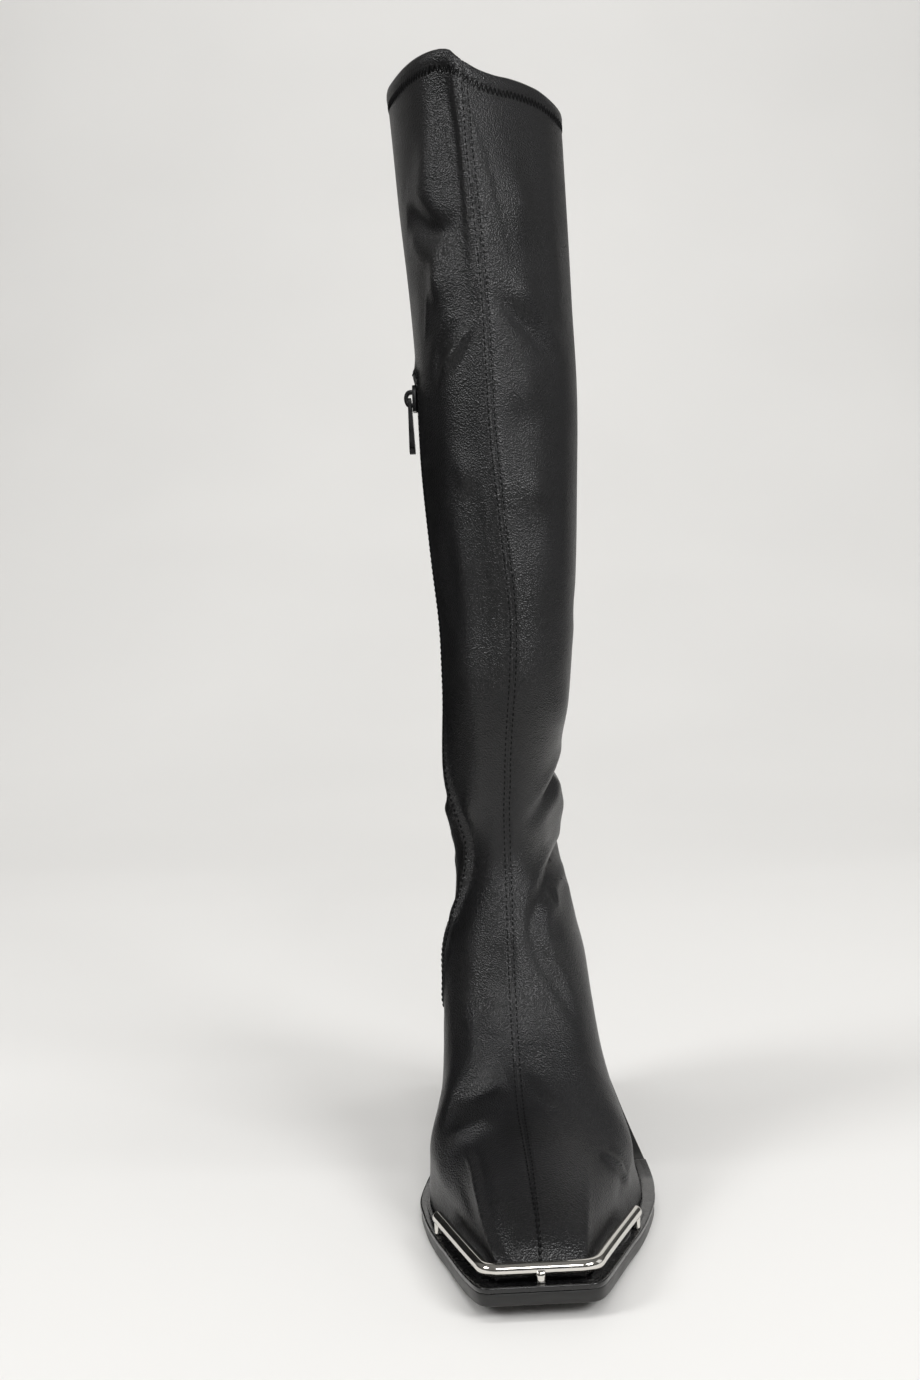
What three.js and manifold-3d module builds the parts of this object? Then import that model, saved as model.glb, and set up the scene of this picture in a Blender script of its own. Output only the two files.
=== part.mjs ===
// Knee-high left boot in stretch leather: square toe with a polished guard rail on three posts, welt,
// leather-covered block heel, half-length zip on the inner side. It stands empty on its sole.
//
// Frame, in millimetres: +Z up, toe towards -Y, outer (lateral) side +X, inner (medial) side -X.
// The origin is the centre of the heel's bottom face.

import * as THREE from 'three';
import { mergeVertices } from 'three/addons/utils/BufferGeometryUtils.js';
import Module from 'manifold-3d';

// ---------------------------------------------------------------- driving dimensions

const GAP = 0.3;                 // clearance between pieces that touch
const FEATHER_GAP = 0.4;         // clearance between the upper's lower edge and the sole line
const SLIVER = 0.02;             // edges and steps shorter than this are left out of the cut pieces
const WALL = 1.8;                // leather and lining together
const RING_POINTS = 28;          // points round one section of the upper
const STEPS_PER_ROW = 1.6;       // sections lofted for each row of the table

const TOE_SLANT = 0.07;          // the toe edge runs back this much per mm from the inner to the outer side
const SLANT_START_Y = -150;      // in front of here the slant grows to its full amount
const SLANT_FULL_Y = -215;
const RIM_TILT = 0.09;           // the collar stands this much higher per mm towards the inner side
const RIM_TILT_FROM_Z = 400;
const RIM_Z = 481;

const WELT = { thick: 2.2, width: 9, backY: -101 };
const SOLE = { frontY: -233, breastY: -20, edgeInset: 0.5 };
const INSOLE = { thick: 2.4, inset: WALL + 0.5, frontY: -217 };
const HEEL = { backY: 26, bottomLength: 0.88, bottomWidth: 0.93, levels: 5, spareTop: 2 };

// The guard rail's centre line: straight across the toe, then back along both splayed sides.
const RAIL = { halfFront: 19.35, side: 61, splayDeg: 18.8, bendRadius: 6, radius: 2.4,
  frontY: -228, frontZ: 16.8, endZ: 13.6, sides: 12, bendSteps: 6,
  postRadius: 1.7, postSides: 10, frontPostOut: 1.2, endPostInset: 2.16 };

// The zip runs up the inner side, from just above the sole to mid shaft.
const ZIP = { lowY: -68, lowZ: 66, topY: -78, topZ: 357, halfWidth: 2.6, recess: 0.5, thick: 1.0 };
const SLIDER = { z: 351.2, length: 12, width: 7.4, corner: 1, plate: 1.9, standOff: 0.4 };
const BAIL = { halfLength: 3.9, bar: 1.1, width: 2.0, height: 4.1, squareness: 0.6, steps: 8 };
const PULL = { hingeOut: 3.6, hingeDrop: 0.7, barRadius: 0.75, thick: 1.5, width: 6.4, window: 5.6, length: 24.5,
  windowHalf: 1.8, shoulder: 1, neck: 0.8, tipSteps: 8 };

// Top of the welt and of the waist, where the upper meets the sole: height and sole thickness along the foot.
const SOLE_LINE = [
  { y: -236, top: 12.9, thick: 6.8 },
  { y: -228, top: 12.2, thick: 6.9 },
  { y: -212, top: 10.4, thick: 7.0 },
  { y: -192, top: 8.8, thick: 7.0 },
  { y: -168, top: 7.4, thick: 7.0 },
  { y: -143, top: 7.0, thick: 7.0 },
  { y: -118, top: 7.0, thick: 7.0 },
  { y: -100, top: 10.2, thick: 6.8 },
  { y: -85, top: 18.0, thick: 6.0 },
  { y: -70, top: 31.0, thick: 5.4 },
  { y: -55, top: 47.0, thick: 5.2 },
  { y: -40, top: 64.5, thick: 5.0 },
  { y: -28, top: 77.5, thick: 4.4 },
  { y: -17, top: 85.7, thick: 4.0 },
  { y: -5, top: 90.5, thick: 4.0 },
  { y: 10, top: 94.6, thick: 4.0 },
  { y: 30, top: 99.0, thick: 4.0 },
];

// Plan outline of the sole edge: x on the inner and on the outer side at each station along the foot.
const OUTLINE = [
  { y: -233, inner: -19.0, outer: 18.6 },
  { y: -231.8, inner: -21.2, outer: 20.8 },
  { y: -229, inner: -23.2, outer: 22.8 },
  { y: -226, inner: -24.5, outer: 24.0 },
  { y: -210, inner: -29.6, outer: 29.0 },
  { y: -193, inner: -34.6, outer: 34.4 },
  { y: -175, inner: -40.2, outer: 40.4 },
  { y: -155, inner: -45.2, outer: 45.8 },
  { y: -135, inner: -48.0, outer: 49.6 },
  { y: -116, inner: -46.6, outer: 50.8 },
  { y: -100, inner: -42.6, outer: 49.2 },
  { y: -85, inner: -37.2, outer: 45.2 },
  { y: -70, inner: -32.2, outer: 39.6 },
  { y: -50, inner: -28.0, outer: 32.0 },
  { y: -30, inner: -27.4, outer: 27.4 },
  { y: -18, inner: -28.0, outer: 26.2 },
  { y: 0, inner: -28.4, outer: 25.4 },
  { y: 12, inner: -26.2, outer: 23.2 },
  { y: 20, inner: -20.6, outer: 17.6 },
  { y: 24.5, inner: -12.6, outer: 9.8 },
  { y: 26, inner: -6.5, outer: 3.8 },
];

// Sections of the upper. Each lies in a plane across the boot from its back or underside (backY, backZ) to its
// front or top (frontY, frontZ). baseIn and baseOut are its x at the feather line, in and out are its x where it is
// widest, belly is how far up that is, square and round are the superellipse powers below and above it, and
// ridge is the x of its front.
const SECTIONS = [
  [-225.0, 7.5, -225.0, 17.0, -16.5, 16.5, -16.0, 16.0, 0.50, 6.0, 3.0, 0.0],
  [-222.5, 6.3, -219.5, 22.5, -19.2, 19.2, -17.8, 17.8, 0.40, 8.0, 2.6, 0.0],
  [-213.0, 5.4, -207.0, 29.5, -21.6, 21.6, -20.4, 20.4, 0.38, 8.0, 2.4, -0.7],
  [-199.0, 4.2, -189.0, 36.5, -26.2, 26.4, -25.0, 25.0, 0.36, 8.0, 2.2, -2.0],
  [-182.0, 3.1, -169.0, 42.0, -31.8, 32.2, -30.6, 30.4, 0.36, 8.0, 2.0, -3.5],
  [-168.0, 2.3, -155.0, 45.5, -37.0, 37.6, -35.2, 34.6, 0.38, 8.0, 1.9, -4.6],
  [-155.0, 2.1, -143.0, 49.5, -41.6, 43.0, -39.6, 38.0, 0.40, 8.0, 1.9, -5.3],
  [-135.0, 1.9, -131.0, 57.0, -45.4, 47.2, -43.4, 41.2, 0.42, 8.0, 1.85, -5.9],
  [-113.0, 2.4, -120.0, 67.5, -43.8, 48.2, -41.8, 39.8, 0.42, 8.0, 1.8, -6.3],
  [-89.5, 9.6, -112.5, 77.5, -37.6, 45.6, -39.6, 36.2, 0.42, 8.0, 1.8, -6.6],
  [-67.0, 27.0, -107.0, 88.0, -30.4, 37.4, -38.8, 32.4, 0.44, 7.0, 1.8, -6.8],
  [-43.7, 53.5, -104.0, 99.0, -26.8, 29.8, -38.8, 29.6, 0.46, 6.0, 1.8, -7.0],
  [-18.5, 79.0, -102.0, 111.0, -27.0, 25.8, -38.6, 27.4, 0.48, 5.0, 1.85, -7.0],
  [7.0, 88.2, -97.5, 124.0, -27.0, 24.0, -36.2, 24.6, 0.46, 4.4, 1.9, -7.0],
  [26.3, 93.5, -94.0, 134.5, -27.5, 23.0, -34.0, 21.4, 0.44, 3.2, 1.9, -7.0],
  [29.0, 111.0, -93.0, 143.0, -29.0, 22.0, -32.8, 18.6, 0.44, 2.5, 1.9, -7.0],
  [28.0, 125.0, -93.5, 151.0, -31.5, 20.0, -33.0, 17.4, 0.45, 2.2, 1.9, -7.0],
  [20.5, 139.0, -95.5, 159.0, -33.6, 18.6, -34.4, 17.4, 0.46, 2.1, 1.9, -7.0],
  [8.5, 153.0, -98.0, 167.0, -35.6, 18.4, -36.2, 18.2, 0.48, 2.0, 1.9, -6.8],
  [-4.0, 166.0, -101.0, 175.0, -36.8, 17.8, -37.0, 17.4, 0.50, 2.0, 1.9, -6.2],
  [-15.0, 179.0, -104.0, 184.0, -36.8, 17.6, -36.8, 17.6, 0.50, 2.0, 1.9, -5.8],
  [-25.0, 195.0, -108.0, 196.0, -35.4, 19.8, -35.4, 19.8, 0.50, 2.0, 1.9, -5.0],
  [-32.0, 212.0, -112.0, 211.0, -34.2, 22.8, -34.2, 22.8, 0.50, 2.0, 1.9, -3.6],
  [-35.5, 228.0, -114.5, 227.0, -34.0, 24.6, -34.0, 24.6, 0.50, 2.0, 1.9, -2.2],
  [-36.0, 250.0, -116.5, 250.0, -34.6, 26.4, -34.6, 26.4, 0.50, 2.0, 1.8, -1.5],
  [-33.0, 280.0, -120.0, 280.0, -37.4, 28.6, -37.4, 28.6, 0.50, 2.0, 1.75, -3.8],
  [-27.5, 320.0, -123.5, 320.0, -40.6, 30.2, -40.6, 30.2, 0.50, 2.0, 1.65, -8.0],
  [-22.0, 360.0, -127.0, 360.0, -41.6, 31.4, -41.6, 31.4, 0.50, 2.0, 1.6, -11.0],
  [-16.0, 400.0, -130.0, 400.0, -44.0, 30.8, -44.0, 30.8, 0.50, 2.0, 1.5, -13.5],
  [-10.5, 440.0, -132.5, 440.0, -47.8, 29.4, -47.8, 29.4, 0.50, 2.0, 1.42, -16.5],
  [-6.0, 481.0, -135.0, 481.0, -51.4, 28.2, -51.4, 28.2, 0.50, 2.0, 1.35, -19.5],
].map(([backY, backZ, frontY, frontZ, baseIn, baseOut, inn, out, belly, square, round, ridge]) =>
  ({ backY, backZ, frontY, frontZ, baseIn, baseOut, inn, out, belly, square, round, ridge }));

// ---------------------------------------------------------------- interpolation

const lerp = (a, b, t) => a + (b - a) * t;

// Value of a column at station y, straight between the rows of a table sorted by y.
function along(table, column, y) {
  const last = table.length - 1;
  if (y <= table[0].y) return table[0][column];
  if (y >= table[last].y) return table[last][column];
  const i = table.findIndex((row) => row.y > y) - 1;
  const t = (y - table[i].y) / (table[i + 1].y - table[i].y);
  return lerp(table[i][column], table[i + 1][column], t);
}

const soleTop = (y) => along(SOLE_LINE, 'top', y);

// Smooth row between the rows of the section table: u runs from 0 to the last row's number.
function sectionAt(u) {
  const last = SECTIONS.length - 1;
  const i = Math.min(Math.floor(u), last - 1);
  const t = u - i;
  const rows = [i - 1, i, i + 1, i + 2].map((k) => SECTIONS[Math.min(Math.max(k, 0), last)]);
  const blended = {};
  for (const key of Object.keys(SECTIONS[0])) {
    const [a, b, c, d] = rows.map((row) => row[key]);
    const slopeIn = (c - a) / 2;
    const slopeOut = (d - b) / 2;
    blended[key] = b + slopeIn * t + (3 * (c - b) - 2 * slopeIn - slopeOut) * t ** 2
      + (2 * (b - c) + slopeIn + slopeOut) * t ** 3;
  }
  return blended;
}

// The whole toe is sheared a little, so that its front edge isn't square to the foot, and the collar is tilted.
function slanted([x, y, z]) {
  const toe = THREE.MathUtils.clamp((SLANT_START_Y - y) / (SLANT_START_Y - SLANT_FULL_Y), 0, 1);
  const rim = THREE.MathUtils.clamp((z - RIM_TILT_FROM_Z) / (RIM_Z - RIM_TILT_FROM_Z), 0, 1);
  return [x, y + TOE_SLANT * x * toe, z - RIM_TILT * x * rim];
}

// ---------------------------------------------------------------- the last's shape

// Point of a section at angle theta: 0 at the back or underside, pi/2 on the outer side, pi at the front or top.
function sectionPoint(row, theta) {
  const across = Math.sin(theta);
  const lower = Math.cos(theta) > 0;
  const power = 2 / (lower ? row.square : row.round);
  const depth = Math.abs(Math.cos(theta)) ** power;
  const width = Math.abs(across) ** power;
  const middle = (row.inn + row.out) / 2;
  const outside = across >= 0;
  const widest = outside ? row.out : row.inn;
  const base = outside ? row.baseOut : row.baseIn;
  const side = (lower ? lerp(widest, base, depth ** 2) : widest) - middle;
  const lean = lower ? 0 : (row.ridge - middle) * depth ** 1.5;
  const up = lower ? row.belly * (1 - depth) : row.belly + (1 - row.belly) * depth;
  return slanted([
    middle + lean + side * width,
    lerp(row.backY, row.frontY, up),
    lerp(row.backZ, row.frontZ, up),
  ]);
}

// Rings of the upper, moved inwards by inset along the surface's own normals.
function upperRings(inset) {
  const count = Math.round((SECTIONS.length - 1) * STEPS_PER_ROW);
  const rings = [];
  for (let i = 0; i <= count; i++) {
    const row = sectionAt(i / count * (SECTIONS.length - 1));
    const ring = [];
    for (let j = 0; j < RING_POINTS; j++) {
      ring.push(new THREE.Vector3(...sectionPoint(row, j / RING_POINTS * 2 * Math.PI)));
    }
    rings.push(ring);
  }
  return rings.map((ring, i) => ring.map((point, j) => {
    const before = rings[Math.max(i - 1, 0)][j];
    const after = rings[Math.min(i + 1, count)][j];
    const left = ring[(j + RING_POINTS - 1) % RING_POINTS];
    const right = ring[(j + 1) % RING_POINTS];
    const alongFoot = after.clone().sub(before);
    const round = right.clone().sub(left);
    const normal = alongFoot.cross(round).normalize();
    const moved = point.clone().addScaledVector(normal, -inset);
    if (i === 0) moved.y += inset;
    return moved.toArray();
  }));
}

// ---------------------------------------------------------------- solids

const wasm = await Module();
wasm.setup();

function solidFrom(points, triangles) {
  let volume = 0;
  const [a, b, c] = [new THREE.Vector3(), new THREE.Vector3(), new THREE.Vector3()];
  for (const [i, j, k] of triangles) {
    a.fromArray(points[i]);
    b.fromArray(points[j]);
    c.fromArray(points[k]);
    volume += a.dot(b.cross(c));
  }
  const facing = volume > 0 ? triangles : triangles.map(([i, j, k]) => [i, k, j]);
  return new wasm.Manifold(new wasm.Mesh({
    numProp: 3,
    vertProperties: Float32Array.from(points.flat()),
    triVerts: Uint32Array.from(facing.flat()),
  }));
}

// Closed solid through a row of rings with equal counts of points, with a fan over each end.
function loft(rings) {
  const n = rings[0].length;
  const points = rings.flat();
  const triangles = [];
  for (let i = 0; i + 1 < rings.length; i++) {
    for (let j = 0; j < n; j++) {
      const [p, q] = [i * n + j, i * n + (j + 1) % n];
      triangles.push([p, q, q + n], [p, q + n, p + n]);
    }
  }
  const addCap = (ring, first, turned) => {
    const centre = [0, 1, 2].map((axis) => ring.reduce((sum, point) => sum + point[axis], 0) / n);
    const hub = points.push(centre) - 1;
    for (let j = 0; j < n; j++) {
      const [p, q] = [first + j, first + (j + 1) % n];
      triangles.push(turned ? [hub, q, p] : [hub, p, q]);
    }
  };
  addCap(rings[0], 0, true);
  addCap(rings[rings.length - 1], (rings.length - 1) * n, false);
  return solidFrom(points, triangles);
}

// A three.js geometry, placed by a matrix, as a solid.
function solidOf(geometry, matrix = new THREE.Matrix4()) {
  const bare = geometry.clone().applyMatrix4(matrix);
  bare.deleteAttribute('normal');
  bare.deleteAttribute('uv');
  const merged = mergeVertices(bare, 1e-4);
  return new wasm.Manifold(new wasm.Mesh({
    numProp: 3,
    vertProperties: Float32Array.from(merged.attributes.position.array),
    triVerts: Uint32Array.from(merged.index.array),
  }));
}

const at = (x, y, z) => new THREE.Matrix4().makeTranslation(x, y, z);

const boot = new THREE.Group();

function addPiece(name, solid, material) {
  const { vertProperties, triVerts } = solid.simplify(SLIVER).getMesh();
  const geometry = new THREE.BufferGeometry();
  geometry.setAttribute('position', new THREE.BufferAttribute(new Float32Array(vertProperties), 3));
  geometry.setIndex(new THREE.BufferAttribute(new Uint32Array(triVerts), 1));
  geometry.computeVertexNormals();
  const mesh = new THREE.Mesh(geometry, new THREE.MeshStandardMaterial(material));
  mesh.name = name;
  boot.add(mesh);
}

const LEATHER = { color: 0x1c1b1d, roughness: 0.42, metalness: 0 };
const SOLE_EDGE = { color: 0x131214, roughness: 0.3, metalness: 0 };
const WELT_FINISH = { color: 0x0d0c0e, roughness: 0.18, metalness: 0 };
const STEEL = { color: 0xd9d8d4, roughness: 0.12, metalness: 1 };
const ZIP_METAL = { color: 0x17161a, roughness: 0.35, metalness: 0.8 };
const LINING = { color: 0x2a2727, roughness: 0.7, metalness: 0 };

// ---------------------------------------------------------------- sole slabs

const OUTLINE_STATIONS = OUTLINE.map((row) => row.y);

// Plate that follows the sole line through the given stations, from the first to the last, and through the
// tables' own; top and bottom are heights as functions of y.
function soleSlab(own, inset, top, bottom) {
  const stations = [...new Set([...own, ...OUTLINE_STATIONS, ...SOLE_LINE.map((row) => row.y)])]
    .filter((y) => y >= own[0] && y <= own[own.length - 1])
    .sort((a, b) => a - b);
  return loft(stations.map((y) => {
    const outer = along(OUTLINE, 'outer', y) - inset;
    const inner = along(OUTLINE, 'inner', y) + inset;
    return [
      slanted([outer, y, bottom(y)]),
      slanted([outer, y, top(y)]),
      slanted([inner, y, top(y)]),
      slanted([inner, y, bottom(y)]),
    ];
  }));
}

const soleBottom = (y) => soleTop(y) - along(SOLE_LINE, 'thick', y);
const weltBottom = (y) => soleTop(y) - WELT.thick;

// The welt is a strip round the forefoot, laid along the outline from the inner side to the outer side.
function makeWelt() {
  const stations = [WELT.backY, ...OUTLINE_STATIONS.filter((y) => y < WELT.backY).reverse()];
  const edge = (column) => stations.map((y) => new THREE.Vector2(along(OUTLINE, column, y), y));
  const line = [...edge('inner'), ...edge('outer').reverse()];
  return loft(line.map((point, i) => {
    const ahead = line[Math.min(i + 1, line.length - 1)];
    const behind = line[Math.max(i - 1, 0)];
    const direction = ahead.clone().sub(behind).normalize();
    const inside = new THREE.Vector2(-direction.y, direction.x).multiplyScalar(WELT.width).add(point);
    if (i === 0 || i === line.length - 1) inside.y = point.y;
    const corner = ({ x, y }, height) => slanted([x, y, height(y)]);
    return [corner(point, weltBottom), corner(point, soleTop), corner(inside, soleTop), corner(inside, weltBottom)];
  }));
}

// One sole from toe to breast; its top steps down where the welt lies on it.
function makeOutsole() {
  const stepY = WELT.backY + GAP;
  const top = (y) => (y < stepY ? weltBottom(y) - GAP : soleTop(y));
  return soleSlab([SOLE.frontY + SOLE.edgeInset, stepY - SLIVER, stepY, SOLE.breastY - GAP], SOLE.edgeInset,
    top, soleBottom);
}

// ---------------------------------------------------------------- heel

// Block heel: flat breast, back curved in plan and drawn in towards the ground, top cut to the heel seat.
function makeHeel() {
  const { breastY } = SOLE;
  const seatZ = soleTop(HEEL.backY) + HEEL.spareTop;
  const stations = [breastY, ...OUTLINE_STATIONS.filter((y) => y > breastY)];
  const side = (column) => stations.map((y) => [along(OUTLINE, column, y), y]);
  const loop = [...side('outer'), ...side('inner').reverse()];
  const rings = [];
  for (let level = 0; level < HEEL.levels; level++) {
    const t = level / (HEEL.levels - 1);
    const length = lerp(HEEL.bottomLength, 1, t ** 1.5);
    const width = lerp(HEEL.bottomWidth, 1, t);
    rings.push(loop.map(([x, y]) => [x * width, breastY + (y - breastY) * length, seatZ * t]));
  }
  return loft(rings).intersect(below((y) => soleTop(y) - GAP));
}

// ---------------------------------------------------------------- upper, insole and zip

// Reach of the cutters, past every side of the boot.
const REACH = 90;
const AHEAD_OF_TOE_Y = -260;
const BEHIND_HEEL_Y = 60;
const UNDER_FLOOR_Z = -1;
const OVER_RIM = 5;
const ZIP_CUTTER_END_X = -15;

// Everything between two heights given along the foot, from frontY back.
function band(top, bottom, frontY) {
  const between = SOLE_LINE.map((row) => row.y).filter((y) => y > frontY);
  return loft([frontY, ...between, BEHIND_HEEL_Y].map((y) => [
    [REACH, y, bottom(y)], [REACH, y, top(y)], [-REACH, y, top(y)], [-REACH, y, bottom(y)],
  ]));
}

// Everything from just under the ground up to a height given along the foot.
const below = (height) => band(height, () => UNDER_FLOOR_Z, AHEAD_OF_TOE_Y);

// Prism along X over the zip's line on the inner side.
function zipSlot(halfWidth, endGap) {
  const line = new THREE.Vector2(ZIP.topY - ZIP.lowY, ZIP.topZ - ZIP.lowZ).normalize();
  const across = new THREE.Vector2(-line.y, line.x).multiplyScalar(halfWidth);
  const low = new THREE.Vector2(ZIP.lowY, ZIP.lowZ).addScaledVector(line, endGap);
  const top = new THREE.Vector2(ZIP.topY, ZIP.topZ).addScaledVector(line, -endGap);
  const corners = [low.clone().add(across), top.clone().add(across), top.clone().sub(across),
    low.clone().sub(across)];
  return loft([-REACH, ZIP_CUTTER_END_X].map((x) => corners.map((corner) => [x, corner.x, corner.y])));
}

function makeUpper() {
  const inner = upperRings(WALL);
  const rim = inner[inner.length - 1];
  inner.push(rim.map(([x, y, z]) => [x, y, z + OVER_RIM]));
  return loft(upperRings(0))
    .subtract(loft(inner))
    .subtract(below((y) => soleTop(y) + FEATHER_GAP))
    .subtract(zipSlot(ZIP.halfWidth, 0));
}

function makeInsole() {
  const bed = band((y) => soleTop(y) + GAP + INSOLE.thick, (y) => soleTop(y) + GAP, INSOLE.frontY);
  return loft(upperRings(INSOLE.inset)).intersect(bed);
}

// Tape and closed teeth as one strip that follows the wall it fills.
function makeZipChain() {
  const strip = loft(upperRings(ZIP.recess)).subtract(loft(upperRings(ZIP.recess + ZIP.thick)));
  return strip.intersect(zipSlot(ZIP.halfWidth - GAP, GAP));
}

// x of the wall's outer face on the inner side, at the slider.
const rowAbove = SECTIONS.findIndex((row) => row.frontZ > SLIDER.z);
const [highZ, lowZ] = [SECTIONS[rowAbove].frontZ, SECTIONS[rowAbove - 1].frontZ];
const FACE_X = sectionAt(rowAbove - (highZ - SLIDER.z) / (highZ - lowZ)).inn;
const SLIDER_Y = lerp(ZIP.lowY, ZIP.topY, (SLIDER.z - ZIP.lowZ) / (ZIP.topZ - ZIP.lowZ));
const HINGE = new THREE.Vector3(FACE_X - PULL.hingeOut, SLIDER_Y, SLIDER.z - PULL.hingeDrop);

// Slider: a plate with a blunt nose on the closed teeth, and the bail that the pull hangs on.
function makeSlider() {
  const { length, width, corner, plate, standOff } = SLIDER;
  const shape = new THREE.Shape();
  shape.moveTo(-width / 2 + corner, -length / 2);
  shape.lineTo(width / 2 - corner, -length / 2);
  shape.lineTo(width / 2, length / 6);
  shape.lineTo(width / 4, length / 2);
  shape.lineTo(-width / 4, length / 2);
  shape.lineTo(-width / 2, length / 6);
  shape.closePath();
  const body = new THREE.ExtrudeGeometry(shape, { depth: plate, bevelEnabled: false });
  const turn = new THREE.Matrix4().makeBasis(
    new THREE.Vector3(0, -1, 0), new THREE.Vector3(0, 0, 1), new THREE.Vector3(-1, 0, 0));
  const place = at(FACE_X - standOff, SLIDER_Y, SLIDER.z).multiply(turn);

  const { halfLength, bar, height, squareness, steps } = BAIL;
  const foot = FACE_X - standOff - plate + GAP;
  const arch = (half, rise) => {
    const points = [];
    for (let k = 0; k <= steps; k++) {
      const a = k / steps * Math.PI;
      points.push([foot - rise * Math.sin(a) ** squareness, half * Math.cos(a)]);
    }
    return points;
  };
  const outline = [...arch(halfLength, height), ...arch(halfLength - bar, height - bar).reverse()];
  const bailShape = new THREE.Shape(outline.map(([x, z]) => new THREE.Vector2(x, z)));
  const bail = new THREE.ExtrudeGeometry(bailShape, { depth: BAIL.width, bevelEnabled: false });
  const upright = new THREE.Matrix4().makeBasis(
    new THREE.Vector3(1, 0, 0), new THREE.Vector3(0, 0, 1), new THREE.Vector3(0, -1, 0));
  return solidOf(body, place)
    .add(solidOf(bail, at(0, SLIDER_Y + BAIL.width / 2, SLIDER.z).multiply(upright)));
}

// Pull: a flat tab with a window at the top, whose crossbar turns inside the bail.
function makePull() {
  const { thick, width, window, length, windowHalf, barRadius, shoulder, neck, tipSteps } = PULL;
  const tab = new THREE.Shape();
  tab.moveTo(-width / 2, -shoulder);
  tab.lineTo(-width / 2 * neck, barRadius);
  tab.lineTo(width / 2 * neck, barRadius);
  tab.lineTo(width / 2, -shoulder);
  tab.lineTo(width / 2, -length + width / 2);
  tab.absarc(0, -length + width / 2, width / 2, 0, -Math.PI, true);
  tab.closePath();
  const opening = new THREE.Path();
  opening.moveTo(-windowHalf, -barRadius);
  opening.lineTo(-windowHalf, -window);
  opening.lineTo(windowHalf, -window);
  opening.lineTo(windowHalf, -barRadius);
  opening.closePath();
  tab.holes.push(opening);
  const plate = new THREE.ExtrudeGeometry(tab, { depth: thick, bevelEnabled: false, curveSegments: tipSteps });
  const turn = new THREE.Matrix4().makeBasis(
    new THREE.Vector3(0, -1, 0), new THREE.Vector3(0, 0, 1), new THREE.Vector3(-1, 0, 0));
  return solidOf(plate, at(HINGE.x + thick / 2, HINGE.y, HINGE.z).multiply(turn));
}

// ---------------------------------------------------------------- toe rail

// Round bar on a front post and two end posts, all one brazed piece.
function makeToeRail() {
  const { halfFront, side, splayDeg, bendRadius, radius, frontY, frontZ, endZ, postRadius } = RAIL;
  const { sides, bendSteps, postSides, frontPostOut, endPostInset } = RAIL;
  const splay = THREE.MathUtils.degToRad(splayDeg);
  const back = new THREE.Vector2(Math.sin(splay), Math.cos(splay));
  const bendTurn = Math.PI / 2 - splay;
  const setBack = bendRadius * Math.tan(bendTurn / 2);
  const half = [new THREE.Vector2(0, 0)];
  const bendCentre = new THREE.Vector2(halfFront - setBack, bendRadius);
  for (let k = 0; k <= bendSteps; k++) {
    const a = -Math.PI / 2 + bendTurn * k / bendSteps;
    half.push(new THREE.Vector2(bendRadius * Math.cos(a), bendRadius * Math.sin(a)).add(bendCentre));
  }
  half.push(back.clone().multiplyScalar(side).add(new THREE.Vector2(halfFront, 0)));
  const endY = side * back.y;
  const centreLine = [...half.slice(1).reverse().map((p) => new THREE.Vector2(-p.x, p.y)), ...half]
    .map((p) => new THREE.Vector3(...slanted([p.x, frontY + p.y, lerp(frontZ, endZ, p.y / endY)])));
  const rings = centreLine.map((point, i) => {
    const ahead = centreLine[Math.min(i + 1, centreLine.length - 1)];
    const behind = centreLine[Math.max(i - 1, 0)];
    const tangent = ahead.clone().sub(behind).normalize();
    const level = new THREE.Vector3(0, 0, 1).cross(tangent).normalize();
    const upward = tangent.clone().cross(level);
    const ring = [];
    for (let k = 0; k < sides; k++) {
      const a = k / sides * 2 * Math.PI;
      ring.push(point.clone().addScaledVector(level, radius * Math.cos(a))
        .addScaledVector(upward, radius * Math.sin(a)).toArray());
    }
    return ring;
  });
  let rail = loft(rings);
  const ends = [centreLine[0], centreLine[centreLine.length - 1]]
    .map((end) => new THREE.Vector3(
      end.x - Math.sign(end.x) * endPostInset * back.x, end.y - endPostInset * back.y, end.z));
  const front = new THREE.Vector3(0, frontY - frontPostOut, frontZ);
  for (const post of [front, ...ends]) {
    const foot = soleTop(post.y) + GAP;
    const height = post.z - foot;
    const geometry = new THREE.CylinderGeometry(postRadius, postRadius, height, postSides);
    geometry.rotateX(Math.PI / 2);
    rail = rail.add(solidOf(geometry, at(post.x, post.y, foot + height / 2)));
  }
  return rail;
}

// ---------------------------------------------------------------- assembly

addPiece('upper', makeUpper(), LEATHER);
addPiece('insole', makeInsole(), LINING);
addPiece('welt', makeWelt(), WELT_FINISH);
addPiece('outsole', makeOutsole(), SOLE_EDGE);
addPiece('heel', makeHeel(), LEATHER);
addPiece('toe_rail', makeToeRail(), STEEL);
addPiece('zip_chain', makeZipChain(), ZIP_METAL);
addPiece('zip_slider', makeSlider(), ZIP_METAL);
addPiece('zip_pull', makePull(), ZIP_METAL);

export default boot;
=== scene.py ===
"""Looks of a knee-high left boot in black stretch leather, standing empty on its sole."""

import math

import bmesh
import bpy
import numpy as np
from mathutils import Matrix, Vector


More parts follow.
